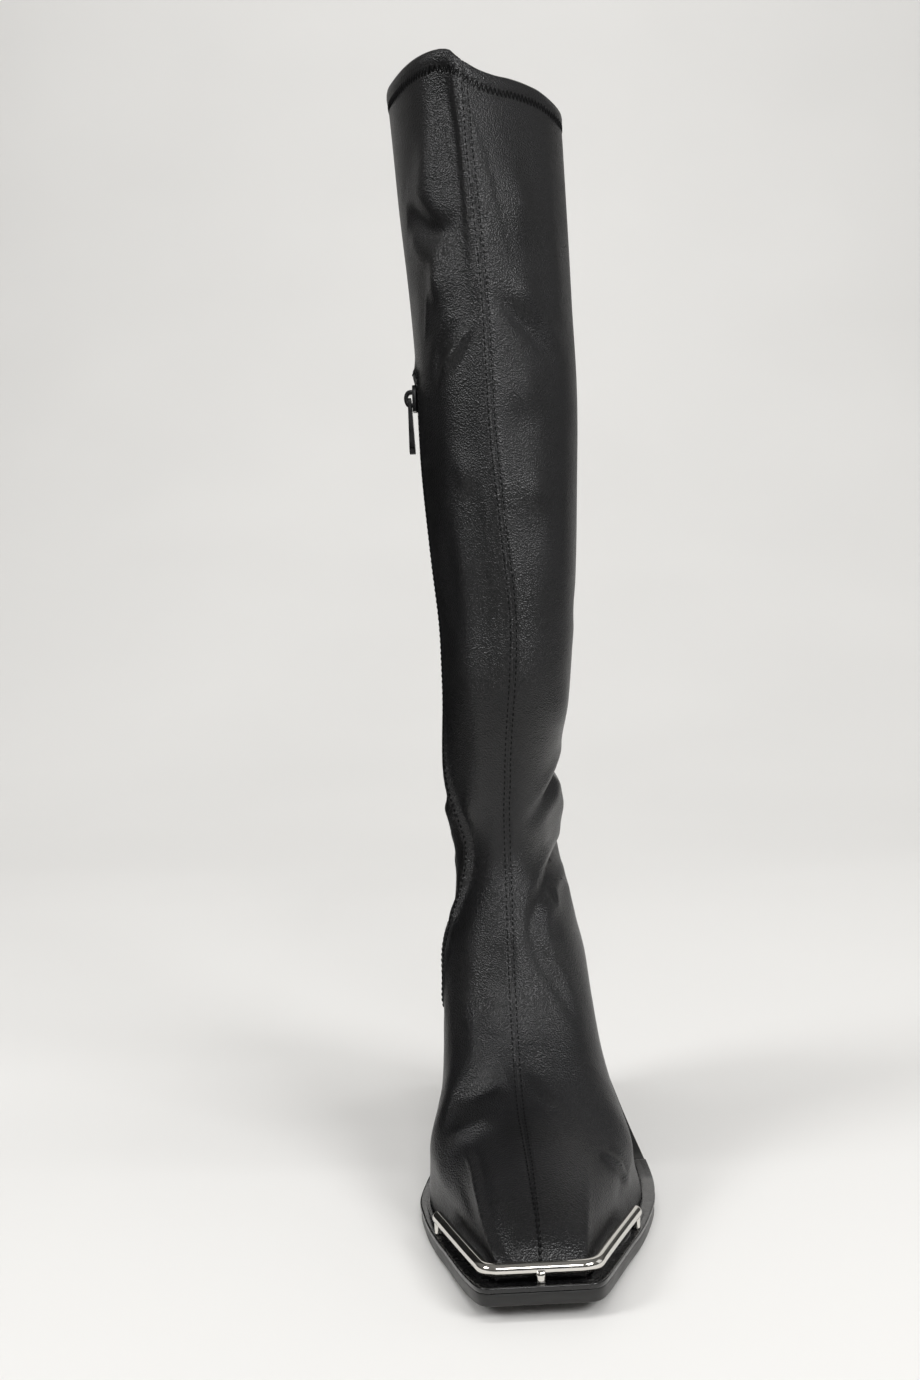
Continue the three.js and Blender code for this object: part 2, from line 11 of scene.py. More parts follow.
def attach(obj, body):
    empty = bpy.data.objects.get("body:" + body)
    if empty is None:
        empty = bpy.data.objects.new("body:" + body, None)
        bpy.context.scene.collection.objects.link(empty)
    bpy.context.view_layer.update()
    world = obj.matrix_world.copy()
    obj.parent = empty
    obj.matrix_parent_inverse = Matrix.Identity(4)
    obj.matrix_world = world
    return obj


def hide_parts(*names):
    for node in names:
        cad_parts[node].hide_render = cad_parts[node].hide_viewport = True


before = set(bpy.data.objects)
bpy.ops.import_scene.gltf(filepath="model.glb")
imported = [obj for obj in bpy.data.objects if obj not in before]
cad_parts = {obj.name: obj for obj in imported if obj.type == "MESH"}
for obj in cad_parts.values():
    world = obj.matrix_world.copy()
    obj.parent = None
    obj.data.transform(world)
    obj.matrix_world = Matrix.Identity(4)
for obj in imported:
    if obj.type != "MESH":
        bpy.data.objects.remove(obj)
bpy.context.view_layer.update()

# ---------------------------------------------------------------- camera
# A standing camera low in front of the toe, at about half the shaft's height, turned a little to the inner side.
# It is rolled by a hand's unsteadiness, and a wide lens makes the toe look large.
CAMERA_PLACE = (-0.0063, -0.7158, 0.225)
CAMERA_YAW_DEG = 1.8
CAMERA_PITCH_DEG = 0.62
CAMERA_ROLL_DEG = 1.86
LENS_MM = 36.52
SENSOR_MM = 36.0

yaw = math.radians(CAMERA_YAW_DEG)
pitch = math.radians(CAMERA_PITCH_DEG)
forward = Vector((-math.sin(yaw) * math.cos(pitch), math.cos(yaw) * math.cos(pitch), -math.sin(pitch)))
level = Vector((math.cos(yaw), math.sin(yaw), 0))
upward = level.cross(forward)
roll = math.radians(CAMERA_ROLL_DEG)
camera_x = level * math.cos(roll) - upward * math.sin(roll)
camera_y = level * math.sin(roll) + upward * math.cos(roll)
camera_data = bpy.data.cameras.new("camera")
camera_data.lens = LENS_MM
camera_data.sensor_width = SENSOR_MM
camera_data.clip_start = 0.01
camera = bpy.data.objects.new("camera", camera_data)
turned = Matrix((camera_x, camera_y, -forward)).transposed().to_4x4()
camera.matrix_world = Matrix.Translation(CAMERA_PLACE) @ turned
bpy.context.collection.objects.link(camera)
bpy.context.scene.camera = camera

# ---------------------------------------------------------------- the last and the sole line
# The shape that the upper is pulled over and the line where it meets the sole, in millimetres. The rows are the
# ones that the solids are made from, so every piece here lies on its solid.
MM = 0.001

# Along the foot: top of the sole and its thickness.
SOLE_LINE = np.array([
    # y, top, thick
    (-236, 12.9, 6.8), (-228, 12.2, 6.9), (-212, 10.4, 7.0), (-192, 8.8, 7.0), (-168, 7.4, 7.0),
    (-143, 7.0, 7.0), (-118, 7.0, 7.0), (-100, 10.2, 6.8), (-85, 18.0, 6.0), (-70, 31.0, 5.4),
    (-55, 47.0, 5.2), (-40, 64.5, 5.0), (-28, 77.5, 4.4), (-17, 85.7, 4.0), (-5, 90.5, 4.0),
    (10, 94.6, 4.0), (30, 99.0, 4.0),
])
# Sections of the upper from the toe to the collar: each lies in a plane from its back or underside to its front or
# top. The base is at the feather line, inner and outer are the widest places, belly is how far up they are, square
# and round are the superellipse powers below and above them, and ridge is the x of the front.
SECTIONS = np.array([
    # back y, z; front y, z; base inner, outer; widest inner, outer; belly, square, round, ridge
    (-225, 7.5, -225, 17, -16.5, 16.5, -16, 16, 0.5, 6, 3, 0),
    (-222.5, 6.3, -219.5, 22.5, -19.2, 19.2, -17.8, 17.8, 0.4, 8, 2.6, 0),
    (-213, 5.4, -207, 29.5, -21.6, 21.6, -20.4, 20.4, 0.38, 8, 2.4, -0.7),
    (-199, 4.2, -189, 36.5, -26.2, 26.4, -25, 25, 0.36, 8, 2.2, -2),
    (-182, 3.1, -169, 42, -31.8, 32.2, -30.6, 30.4, 0.36, 8, 2.0, -3.5),
    (-168, 2.3, -155, 45.5, -37, 37.6, -35.2, 34.6, 0.38, 8, 1.9, -4.6),
    (-155, 2.1, -143, 49.5, -41.6, 43, -39.6, 38, 0.4, 8, 1.9, -5.3),
    (-135, 1.9, -131, 57, -45.4, 47.2, -43.4, 41.2, 0.42, 8, 1.85, -5.9),
    (-113, 2.4, -120, 67.5, -43.8, 48.2, -41.8, 39.8, 0.42, 8, 1.8, -6.3),
    (-89.5, 9.6, -112.5, 77.5, -37.6, 45.6, -39.6, 36.2, 0.42, 8, 1.8, -6.6),
    (-67, 27, -107, 88, -30.4, 37.4, -38.8, 32.4, 0.44, 7, 1.8, -6.8),
    (-43.7, 53.5, -104, 99, -26.8, 29.8, -38.8, 29.6, 0.46, 6, 1.8, -7),
    (-18.5, 79, -102, 111, -27, 25.8, -38.6, 27.4, 0.48, 5, 1.85, -7),
    (7, 88.2, -97.5, 124, -27, 24, -36.2, 24.6, 0.46, 4.4, 1.9, -7),
    (26.3, 93.5, -94, 134.5, -27.5, 23, -34, 21.4, 0.44, 3.2, 1.9, -7),
    (29, 111, -93, 143, -29, 22, -32.8, 18.6, 0.44, 2.5, 1.9, -7),
    (28, 125, -93.5, 151, -31.5, 20, -33, 17.4, 0.45, 2.2, 1.9, -7),
    (20.5, 139, -95.5, 159, -33.6, 18.6, -34.4, 17.4, 0.46, 2.1, 1.9, -7),
    (8.5, 153, -98, 167, -35.6, 18.4, -36.2, 18.2, 0.48, 2, 1.9, -6.8),
    (-4, 166, -101, 175, -36.8, 17.8, -37, 17.4, 0.5, 2, 1.9, -6.2),
    (-15, 179, -104, 184, -36.8, 17.6, -36.8, 17.6, 0.5, 2, 1.9, -5.8),
    (-25, 195, -108, 196, -35.4, 19.8, -35.4, 19.8, 0.5, 2, 1.9, -5),
    (-32, 212, -112, 211, -34.2, 22.8, -34.2, 22.8, 0.5, 2, 1.9, -3.6),
    (-35.5, 228, -114.5, 227, -34, 24.6, -34, 24.6, 0.5, 2, 1.9, -2.2),
    (-36, 250, -116.5, 250, -34.6, 26.4, -34.6, 26.4, 0.5, 2, 1.8, -1.5),
    (-33, 280, -120, 280, -37.4, 28.6, -37.4, 28.6, 0.5, 2, 1.75, -3.8),
    (-27.5, 320, -123.5, 320, -40.6, 30.2, -40.6, 30.2, 0.5, 2, 1.65, -8),
    (-22, 360, -127, 360, -41.6, 31.4, -41.6, 31.4, 0.5, 2, 1.6, -11),
    (-16, 400, -130, 400, -44, 30.8, -44, 30.8, 0.5, 2, 1.5, -13.5),
    (-10.5, 440, -132.5, 440, -47.8, 29.4, -47.8, 29.4, 0.5, 2, 1.42, -16.5),
    (-6, 481, -135, 481, -51.4, 28.2, -51.4, 28.2, 0.5, 2, 1.35, -19.5),
])
TOE_SLANT = 0.07            # the toe's front edge runs back towards the outer side
SLANT_Y = (-215, -150)      # full in front of the first, none behind the second
RIM_TILT = 0.09             # the collar rises towards the inner side
RIM_TILT_Z = (400, 481)
FEATHER_GAP = 0.15          # between the upper's edge and the sole


def smooth_along(table, y, column):
    """A column of a table sorted by its first column, on a smooth curve that never overshoots its rows."""
    stations, values = table[:, 0], table[:, column]
    step = np.diff(stations)
    slope = np.diff(values) / step
    tangent = np.zeros(len(values))
    both = slope[:-1] * slope[1:] > 0
    tangent[1:-1][both] = 2 * (slope[:-1] * slope[1:])[both] / (slope[:-1] + slope[1:])[both]
    tangent[0], tangent[-1] = slope[0], slope[-1]
    y = np.clip(y, stations[0], stations[-1])
    i = np.clip(np.searchsorted(stations, y, side="right") - 1, 0, len(step) - 1)
    t = (y - stations[i]) / step[i]
    return (values[i] * (1 + 2 * t) * (1 - t) ** 2 + values[i + 1] * (3 - 2 * t) * t ** 2
            + step[i] * t * (1 - t) * (tangent[i] * (1 - t) - tangent[i + 1] * t))


def sole_top(y):
    return smooth_along(SOLE_LINE, y, 1)


def slanted(points):
    """Shears the toe and tilts the collar."""
    x, y, z = points[..., 0], points[..., 1], points[..., 2]
    toe = np.clip((SLANT_Y[1] - y) / (SLANT_Y[1] - SLANT_Y[0]), 0, 1)
    rim = np.clip((z - RIM_TILT_Z[0]) / (RIM_TILT_Z[1] - RIM_TILT_Z[0]), 0, 1)
    return np.stack([x, y + TOE_SLANT * x * toe, z - RIM_TILT * x * rim], -1)


def section_at(u):
    """The row of the section table at u, from 0 at the toe to the last row's number at the collar."""
    last = len(SECTIONS) - 1
    i = min(int(u), last - 1)
    t = u - i
    before, start, end, after = (SECTIONS[min(max(i + k, 0), last)] for k in (-1, 0, 1, 2))
    slope_in, slope_out = (end - before) / 2, (after - start) / 2
    return (start + slope_in * t + (3 * (end - start) - 2 * slope_in - slope_out) * t ** 2
            + (2 * (start - end) + slope_in + slope_out) * t ** 3)


def feather_share(row):
    """How far up a section the sole line cuts it: 0 at its underside, or where it is clear of the sole."""
    back_y, back_z, front_y, front_z = row[:4]

    def above(up):
        return back_z + (front_z - back_z) * up - sole_top(back_y + (front_y - back_y) * up) - FEATHER_GAP

    low, high = 0.0, 1.0
    if above(low) >= 0:
        return 0.0
    for _ in range(40):
        middle = (low + high) / 2
        low, high = (low, middle) if above(middle) >= 0 else (middle, high)
    return high


ARC_SAMPLES = 260


def section_line(row):
    """Points of a section from its outer lower edge over the front to its inner one, and the front's number."""
    back_y, back_z, front_y, front_z, base_in, base_out, inner, outer, belly, square, rounded, ridge = row
    t = np.linspace(0, 1, ARC_SAMPLES)
    crowded = t ** 4 / (t ** 4 + (1 - t) ** 4)
    eased = t ** 1.5 / (t ** 1.5 + (1 - t) ** 1.5)
    share = min(feather_share(row), belly * 0.999)
    start = math.acos(min(1.0, (1 - share / belly) ** (square / 2)))
    half = np.concatenate([crowded * math.pi / 2, math.pi / 2 + eased[1:] * math.pi / 2])
    half = np.concatenate([[start], half[half > start + 1e-9]])
    theta = np.concatenate([half, 2 * math.pi - half[-2::-1]])
    cosine, sine = np.cos(theta), np.sin(theta)
    lower = cosine > 0
    power = 2 / np.where(lower, square, rounded)
    depth, width = np.abs(cosine) ** power, np.abs(sine) ** power
    outside = np.arange(len(theta)) < len(half)
    middle = (inner + outer) / 2
    widest, base = np.where(outside, outer, inner), np.where(outside, base_out, base_in)
    side = np.where(lower, widest + (base - widest) * depth ** 2, widest) - middle
    lean = np.where(lower, 0, (ridge - middle) * depth ** 1.5)
    up = np.where(lower, belly * (1 - depth), belly + (1 - belly) * depth)
    line = np.stack([middle + lean + side * width, back_y + (front_y - back_y) * up,
                     back_z + (front_z - back_z) * up], -1)
    return slanted(line), len(half) - 1


# ---------------------------------------------------------------- upper
# One stretch-leather upper over its lining: an outer and an inner panel, joined by a pressed-open seam down the
# front and another down the back, pulled under the foot. The collar is folded in and rolled, a zip is let into the
# inner side, and the leather lies in the soft folds of a boot that stands empty.
WALL = 1.8
RINGS = 425
COLUMNS_OUTER, COLUMNS_TO_ZIP, COLUMNS_BEHIND_ZIP = 78, 32, 36
BESIDE_SEAM = np.array([0, 0.35, 0.8, 1.3, 1.8, 2.4, 3.2, 4.2])
BESIDE_ZIP = np.array([-9, -7.6, -6.4, -5.2, -4.1, -3.3, -2.8, -2.5, -2.2, -1.1, 0, 1.1, 2.2, 2.5, 2.8, 3.3,
                       4.1, 5.2, 6.4, 7.6, 9])
EDGE_BAND = 3               # at least this much lies between the zip's columns and the lower edge
FULL_SPACING_FROM = 62      # a shorter half section has its fixed column distances scaled down
# How far outwards of the ridge the front seam runs: height, distance.
SEAM_OFFSET = np.array([(280, 0), (330, 1.2), (378, 3.6), (446, 3.8), (481, 5)])
ZIP_LOW, ZIP_TOP = (-68, 66), (-78, 357)        # y and z of its ends, on the inner side
TOE_WALL = (1, 0.75, 0.5, 0.25)                 # rows of the low wall at the toe's front, from the welt up
TOE_WALL_BULGE = 1.2
ROLL_RADIUS = 1.3
ROLL_STEPS = 7
COLLAR_ROW_HEIGHT = 41                          # height between the section table's last two rows
COLLAR_RINGS = np.array([0.6, 1.3, 2.2, 3.4, 5, 6.4, 7.2, 7.8, 8.5, 9.2, 9.8, 10.6])    # below the top ring
# The collar's wave: distance round, how much higher.
RIM_LIFT = np.array([(-125, 0), (-105, 4), (-90, 6.8), (-75, 7.4), (-60, 6.2), (-40, 5.2), (-21, 3.5),
                     (-10, 1.6), (-3, -1.2), (2, -3.2), (9, -4.2), (16, -3.8), (28, -1.6), (40, 0.2),
                     (52, 1.4), (76, 1.6), (100, 0.6), (125, 0)])
RIM_LIFT_FROM = 425
LINING_EVERY = (4, 3)       # the lining's mesh is coarser: every so many rings and columns


def zip_y(z):
    return ZIP_LOW[0] + (ZIP_TOP[0] - ZIP_LOW[0]) * (z - ZIP_LOW[1]) / (ZIP_TOP[1] - ZIP_LOW[1])


def ring_stations():
    """Section numbers of the rings, closer together at the collar and where the heel's back closes."""
    last = len(SECTIONS) - 1
    fine = np.linspace(0, last, 1500)
    rows = np.array([section_at(u) for u in fine])
    step = (np.linalg.norm(np.diff(rows[:, 0:2], axis=0), axis=1)
            + np.linalg.norm(np.diff(rows[:, 2:4], axis=0), axis=1)) / 2
    length = np.concatenate([[0], np.cumsum(step)])
    low, high = 10.0, float(last)
    while high - low > 1e-9:
        middle = (low + high) / 2
        low, high = (low, middle) if feather_share(section_at(middle)) == 0 else (middle, high)
    top = last - ROLL_RADIUS / COLLAR_ROW_HEIGHT
    even = np.interp(np.linspace(0, length[-1], RINGS), length, fine)
    collar = top - COLLAR_RINGS / COLLAR_ROW_HEIGHT
    closing = high - 0.25 * (np.arange(1, 9) / 8) ** 2
    stations = [u for u in even if u < collar[-1] - 0.02 and np.abs(u - np.append(closing, high)).min() > 0.004]
    return np.sort(np.concatenate([stations, closing, [high], collar, [top]])), high


def column_places(outer_length, inner_length, zip_at):
    """Distances of the columns from the front seam, from the outer edge (positive) to the inner one."""
    scale = min(1, min(outer_length, inner_length) / FULL_SPACING_FROM)
    near = BESIDE_SEAM * scale
    outer = np.linspace(near[-1], outer_length, COLUMNS_OUTER + 1)[1:]
    zip_at = min(zip_at, inner_length - (BESIDE_ZIP[-1] + EDGE_BAND) * scale)
    beside = zip_at + BESIDE_ZIP * scale
    towards = np.linspace(near[-1], beside[0], COLUMNS_TO_ZIP + 1)[1:-1]
    behind = np.linspace(beside[-1], inner_length, COLUMNS_BEHIND_ZIP + 1)[1:]
    inner = np.concatenate([near[1:], towards, beside, behind])
    return np.concatenate([outer[::-1], near[::-1], -inner])


stations, closing_at = ring_stations()
lines = [section_line(section_at(u)) for u in stations]
arcs = [np.concatenate([[0], np.cumsum(np.linalg.norm(np.diff(line, axis=0), axis=1))]) for line, _ in lines]
seam_arcs, zip_shares = [], []
for (line, front), arc in zip(lines, arcs):
    seam = arc[front] - np.interp(line[front, 2], SEAM_OFFSET[:, 0], SEAM_OFFSET[:, 1])
    inner_half = line[front:]
    beyond = np.nonzero(inner_half[:, 1] > zip_y(inner_half[:, 2]))[0]
    crossed = len(beyond) > 0 and beyond[0] > 0
    seam_arcs.append(seam)
    zip_shares.append((arc[front + beyond[0]] - seam) / (arc[-1] - seam) if crossed else np.nan)
zip_shares = np.array(zip_shares)
crossed = ~np.isnan(zip_shares)
zip_shares = np.interp(stations, stations[crossed], zip_shares[crossed])

base, across = [], []
for (line, front), arc, seam, share in zip(lines, arcs, seam_arcs, zip_shares):
    places = column_places(seam, arc[-1] - seam, share * (arc[-1] - seam))
    base.append(np.stack([np.interp(seam - places, arc, line[:, k]) for k in range(3)], -1))
    across.append(places)
toe_rows = []
for rise in TOE_WALL:
    row = base[0].copy()
    row[:, 2] = row[0, 2] + (row[:, 2] - row[0, 2]) * (1 - rise)
    row[:, 1] -= TOE_WALL_BULGE * math.sin(rise * math.pi / 2)
    toe_rows.append(row)
base = np.array(toe_rows + base)
across = np.array([across[0]] * len(TOE_WALL) + across)
station = np.concatenate([[-rise * 0.2 for rise in TOE_WALL], stations])
closed = station >= closing_at - 1e-9
rings, columns = base.shape[:2]
seam_column = COLUMNS_OUTER + len(BESIDE_SEAM) - 1
zip_column = seam_column + len(BESIDE_SEAM) - 1 + COLUMNS_TO_ZIP - 1 + len(BESIDE_ZIP) // 2 + 1
height = base[..., 2]
beside_zip = across[:, zip_column][:, None] - across        # positive behind the zip
below_rim = (stations[-1] - station) * COLLAR_ROW_HEIGHT


def unit(vectors):
    return vectors / np.maximum(np.linalg.norm(vectors, axis=-1, keepdims=True), 1e-12)


def grid_normals(points):
    """Outward normals of the rings and columns, taken round the back where the rings are closed."""
    along = np.gradient(points, axis=0)
    around = np.empty_like(points)
    around[:, 1:-1] = points[:, 2:] - points[:, :-2]
    around[:, 0] = points[:, 1] - points[:, 0]
    around[:, -1] = points[:, -1] - points[:, -2]
    joint = points[closed, 1] - points[closed, -2]
    around[closed, 0] = joint
    around[closed, -1] = joint
    return unit(np.cross(along, around))


def smooth_step(value, start, end):
    t = np.clip((value - start) / (end - start), 0, 1)
    return t * t * (3 - 2 * t)


def bell(distance, width):
    return np.exp(-(distance / width) ** 2)


lift = smooth_along(RIM_LIFT, across, 1) * smooth_step(height, RIM_LIFT_FROM, height[-1].min())
base = base + np.stack([0 * lift, 0 * lift, lift], -1)
normals = grid_normals(base)

# Folds as troughs along lines on the leather. Each point is its distance round from the front seam (outer side
# positive), its height, and its share of the fold's depth. The rims are how high the leather stands on the left and
# on the right of the fold, seen from outside when going along it.
FOLDS = (
    # points, half width, depth, left rim, right rim
    (((-11.5, 486, 0.1), (-11.5, 478, 0.4), (-12, 464, 0.95), (-11.4, 448, 1), (-11.2, 430, 0.95),
      (-10.4, 412, 0.85), (-10.2, 402, 0.8), (-10.6, 386, 0.65), (-9.8, 376, 0.55), (-11, 353, 0.42),
      (-12, 330, 0.4), (-13, 300, 0.4), (-13.4, 270, 0.4), (-12.6, 246, 0.4), (-10, 222, 0.45),
      (-7.6, 204, 0.5), (-6.4, 186, 0.45), (-7, 168, 0.3), (-9, 150, 0)), 7.4, 4.2, 0.9, 0),
    (((-55, 428, 0), (-43, 425, 0.8), (-28, 416.5, 1), (-18, 413.5, 0.8), (-12, 412, 0)), 5.5, 2.5, 0.9, 0.9),
    (((-35, 392, 0), (-36.6, 386, 0.8), (-38.5, 380, 1), (-40.6, 372, 0)), 1.6, -0.5, 0, 0),
    (((-10, 374, 0), (-12.1, 368.1, 1), (-17, 362, 1), (-21, 358, 0.9), (-26, 353, 0.5), (-30, 348, 0)),
     2.4, -1.4, -0.5, -0.3),
    (((-16, 375, 0), (-22, 370, 0.9), (-28, 362, 1), (-33, 353, 0)), 3.4, 1.2, 0.2, 0.2),
    (((4, 387, 0), (11.7, 380, 0.9), (20, 374, 1), (30, 366, 0.7), (40, 358, 0)), 5.0, 1.7, 1.0, 0.2),
    (((98, 186, 0), (76, 183, 0.5), (58, 181, 0.9), (48, 179.5, 1), (38, 175, 1), (30, 170.5, 0.8),
      (22, 165, 0.5), (15, 160, 0.25), (9, 155, 0)), 4.2, 3.4, 0.8, 0.8),
    (((104, 152, 0), (84, 147, 0.4), (66, 142, 0.7), (53, 139, 1), (45, 136.8, 1), (35.5, 134.4, 1),
      (29, 131, 0.85), (23, 127, 0.7), (16, 122.8, 0.6), (12, 117.6, 0.55), (10.6, 112, 0.55),
      (11, 106, 0.5), (13, 100.5, 0.45), (16.4, 94.5, 0.4), (21, 87.5, 0.3), (27, 78, 0.15), (33, 68, 0)),
      3.8, 2.9, 1.2, 0.6),
    (((36, 131, 0), (30, 127.6, 0.8), (27.4, 123.5, 1), (26, 118, 0)), 1.8, 0.7, 0.3, 0.3),
    (((-36, 34, 0), (-29, 38, 0.7), (-22, 41, 1), (-15, 43.6, 1), (-8, 45.8, 0)), 5.0, -2.0, -0.3, -0.3),
    (((-32, 45, 0), (-24, 48.4, 0.8), (-17, 51.6, 1), (-11, 54.6, 0.9), (-5, 56.5, 0)), 6.6, 3.4, 0.3, 0.4),
    (((4, 57, 0), (8, 52, 0.8), (12, 48, 1), (18, 45, 0)), 3.0, -0.9, -0.3, -0.3),
    (((-27, 36, 0), (-23.6, 33, 0.8), (-21.2, 25.5, 1), (-16, 18.5, 1), (-14.5, 15.5, 0.5)),
      1.9, -1.7, -0.5, 0),
    (((34, 34, 0), (38, 31.3, 0.8), (46, 27, 1), (54, 22, 0.6), (60, 19, 0)), 2.4, -0.8, -0.4, -0.4),
    (((27, 36, 0), (24, 31, 0.7), (21, 25, 1), (18, 18, 1), (17, 15, 0.4)), 2.2, -0.5, 0, 0),
    (((-108, 176, 0), (-92, 171, 0.7), (-76, 168, 1), (-66, 167, 0.4), (-58, 168, 0)), 3.6, 1.3, 0.4, 0.7),
    (((-104, 146, 0), (-90, 142, 0.6), (-76, 140, 0.8), (-66, 141, 0)), 3.4, 1.1, 0.3, 0.6),
    (((-60, 132, 0), (-52, 126, 0.7), (-45, 116, 0.9), (-41, 104, 0.6), (-39, 92, 0)), 3.0, 0.8, 0.3, 0.2),
    (((100, 262, 0), (82, 256, 0.7), (64, 254, 0.9), (48, 258, 0)), 6.0, 1.2, 0.5, 0.5),
    (((-30, 300, 0), (-33, 282, 0.8), (-33, 262, 1), (-30, 240, 0)), 6.0, 0.8, 0.3, 0.3),
    (((30, 468, 0), (33, 440, 0.8), (33, 405, 1), (31, 372, 0)), 9.0, 0.7, 0.3, 0.3),
)
# Soft hollows (negative) and swells of the empty shaft and of the vamp.
SWELLS = (
    # distance round, height, half width round, half height, how much
    (-24, 393, 8, 9, 2.9), (-27, 438, 10, 12, 2.0), (-15.5, 311, 5, 7, 1.9), (-37, 330, 8, 24, -0.6),
    (17, 303, 8, 8, 1.4), (10, 286, 9, 13, -1.3), (26, 426, 10, 12, 1.9), (22, 388, 9, 9, 1.5),
    (17, 344, 8, 8, 1.0), (14, 332, 8, 10, -1.2), (24, 238, 12, 20, -0.6), (33, 208, 12, 10, 1.2),
    (-20, 166, 6, 9, 1.5), (-24, 195, 9, 14, -0.7), (52, 163, 15, 9, 2.4), (54, 151, 13, 6, 1.3),
    (24, 152, 12, 8, 0.8), (54, 122, 14, 11, 3.2), (20, 146, 7, 8, -0.5), (-17, 68, 9, 7, 1.8),
    (8.5, 64, 5, 5, 0.5), (-26, 62, 8, 9, -0.7), (50, 22, 5, 4, -0.9), (-30, 24, 4, 5, -1.1),
    (-44, 24, 6, 6, 0.5), (15, 74, 7, 10, -0.6), (-16, 92, 7, 12, 0.8), (-31, 134, 9, 9, 0.9),
    (62, 395, 16, 34, -0.9), (84, 330, 18, 30, 0.8), (-84, 300, 16, 34, -1.1), (-96, 238, 14, 18, 0.8),
    (80, 232, 14, 14, 0.9), (-100, 400, 16, 30, 0.7), (104, 430, 14, 26, -0.8),
)
SEAM_GROOVE = (0.45, 0.6)           # half width, depth
SEAM_ROWS = (1.3, 0.42, 0.26)       # the stitched rows beside a seam: distance, half width, depth
HEM_HEIGHT = 8.5                    # the stitched row below the rim
HEM_PUFF = (0.4, 4, 3.4)            # the folded hem: how thick, its middle below the rim, half height
HEM_DIP = (0.4, 2.2)                # pulled in again by the stitches: share of the puff, half height
FLAT_ABOVE_SOLE = 9                 # the folds fade out over this height above the sole
NO_SEAM_NEAR = 99
ZIP_GROOVE = 2.65                   # half width of the slit
ZIP_DEPTH = 1.9
ZIP_GROOVE_EDGE = (-0.35, 0.1)      # the slit's edge turns down between these, beside its half width
ZIP_FACING = (7.4, 0.55, 0.7)       # the folded facing beside the slit: width, how thick, half its edge
ZIP_SWELLS = (
    # half width, height on the zip, half height, how much
    (5, 362, 5.5, 1.2),             # the tuck over its top
    (9, 116, 18, 2.0),              # its line stands out above the ankle
)
ZIP_SIDES = (
    # distance behind the zip, half width, height, half height, how much
    (-5, 3, 150, 42, 3.0),          # the front edge stands up
    (13, 10, 158, 38, -5.0),        # the leather behind it is drawn in
    (2, 10, 68, 4.5, -3.6),         # and drops in below the zip's lower end
)
# A fold's rims, in half widths from its middle: how far out, and how wide. Its pull ends at its reach.
FOLD_RIM_AT, FOLD_RIM_WIDE, FOLD_REACH = 1.9, 1.1, 5
FOLD_SAME_SIDE = 0.2                # a fold moves only leather that faces its way by at least this cosine
FOLD_BATCH = 4000                   # points compared with a fold's line at once


def surface_at(around, tall):
    """Ring and column of the grid point nearest to a place on the leather."""
    gap = (across - around) ** 2 + (height - tall) ** 2
    return np.unravel_index(gap.argmin(), gap.shape)


def curve_through(points, per_span=10):
    """Points on a smooth curve through the given ones."""
    points = np.asarray(points, float)
    padded = np.concatenate([[2 * points[0] - points[1]], points, [2 * points[-1] - points[-2]]])
    t = np.linspace(0, 1, per_span, endpoint=False)[:, None]
    made = []
    for a, b, c, d in zip(padded, padded[1:], padded[2:], padded[3:]):
        made.append((2 * b + (c - a) * t + (2 * a - 5 * b + 4 * c - d) * t ** 2
                     + (3 * b - a - 3 * c + d) * t ** 3) / 2)
    return np.concatenate(made + [points[-1:]])


def fold_height(points, half_width, depth, left_rim, right_rim):
    """How far one fold moves each grid point outwards."""
    places = [surface_at(around, tall) for around, tall, _ in points]
    path = curve_through([np.append(base[p], share) for p, (_, _, share) in zip(places, points)])
    out = curve_through([normals[p] for p in places])
    line, share = path[:, :3], np.clip(path[:, 3], 0, 1)
    reach = FOLD_REACH * half_width
    near = ((base > line.min(0) - reach) & (base < line.max(0) + reach)).all(-1)
    spots = base[near]
    nearest = np.empty(len(spots), int)
    for first in range(0, len(spots), FOLD_BATCH):
        gaps = np.linalg.norm(spots[first:first + FOLD_BATCH, None] - line[None], axis=-1)
        nearest[first:first + FOLD_BATCH] = gaps.argmin(1)
    offset = spots - line[nearest]
    left = np.cross(unit(out), unit(np.gradient(line, axis=0)))
    sideways = (offset * left[nearest]).sum(-1)
    away = np.linalg.norm(offset, axis=-1)
    facing_same = (normals[near] * out[nearest]).sum(-1) > FOLD_SAME_SIDE
    rim = np.where(sideways > 0, left_rim, right_rim)
    rims = rim * bell(away - FOLD_RIM_AT * half_width, FOLD_RIM_WIDE * half_width)
    moved = share[nearest] * facing_same * (-depth * bell(away, half_width) + rims)
    made = np.zeros(base.shape[:2])
    made[near] = moved
    return made


relief = np.zeros(base.shape[:2])
for fold in FOLDS:
    relief += fold_height(*fold)
for around, tall, half_width, half_height, amount in SWELLS:
    relief += amount * bell(across - around, half_width) * bell(height - tall, half_height)
relief *= smooth_step(height - sole_top(base[..., 1]), 0, FLAT_ABOVE_SOLE)
seam_gap = np.abs(across)
back_gap = np.minimum(np.abs(across - across[:, :1]), np.abs(across - across[:, -1:]))
back_gap = np.where(closed[:, None], back_gap, NO_SEAM_NEAR)
for gap in (seam_gap, back_gap):
    relief -= (SEAM_ROWS[2] * bell(gap - SEAM_ROWS[0], SEAM_ROWS[1])
               + SEAM_GROOVE[1] * bell(gap, SEAM_GROOVE[0]))
to_rim = below_rim[:, None]
puff, puff_middle, puff_half = HEM_PUFF
relief += puff * (bell(to_rim - puff_middle, puff_half)
                  - HEM_DIP[0] * bell(to_rim - HEM_HEIGHT, HEM_DIP[1]))
zip_gap = np.abs(beside_zip)
zip_height = height[:, zip_column][:, None]
past_end = np.maximum(np.maximum(ZIP_LOW[1] - zip_height, zip_height - ZIP_TOP[1]), 0)
facing_gap = np.hypot(zip_gap, past_end)
facing, facing_thick, facing_edge = ZIP_FACING
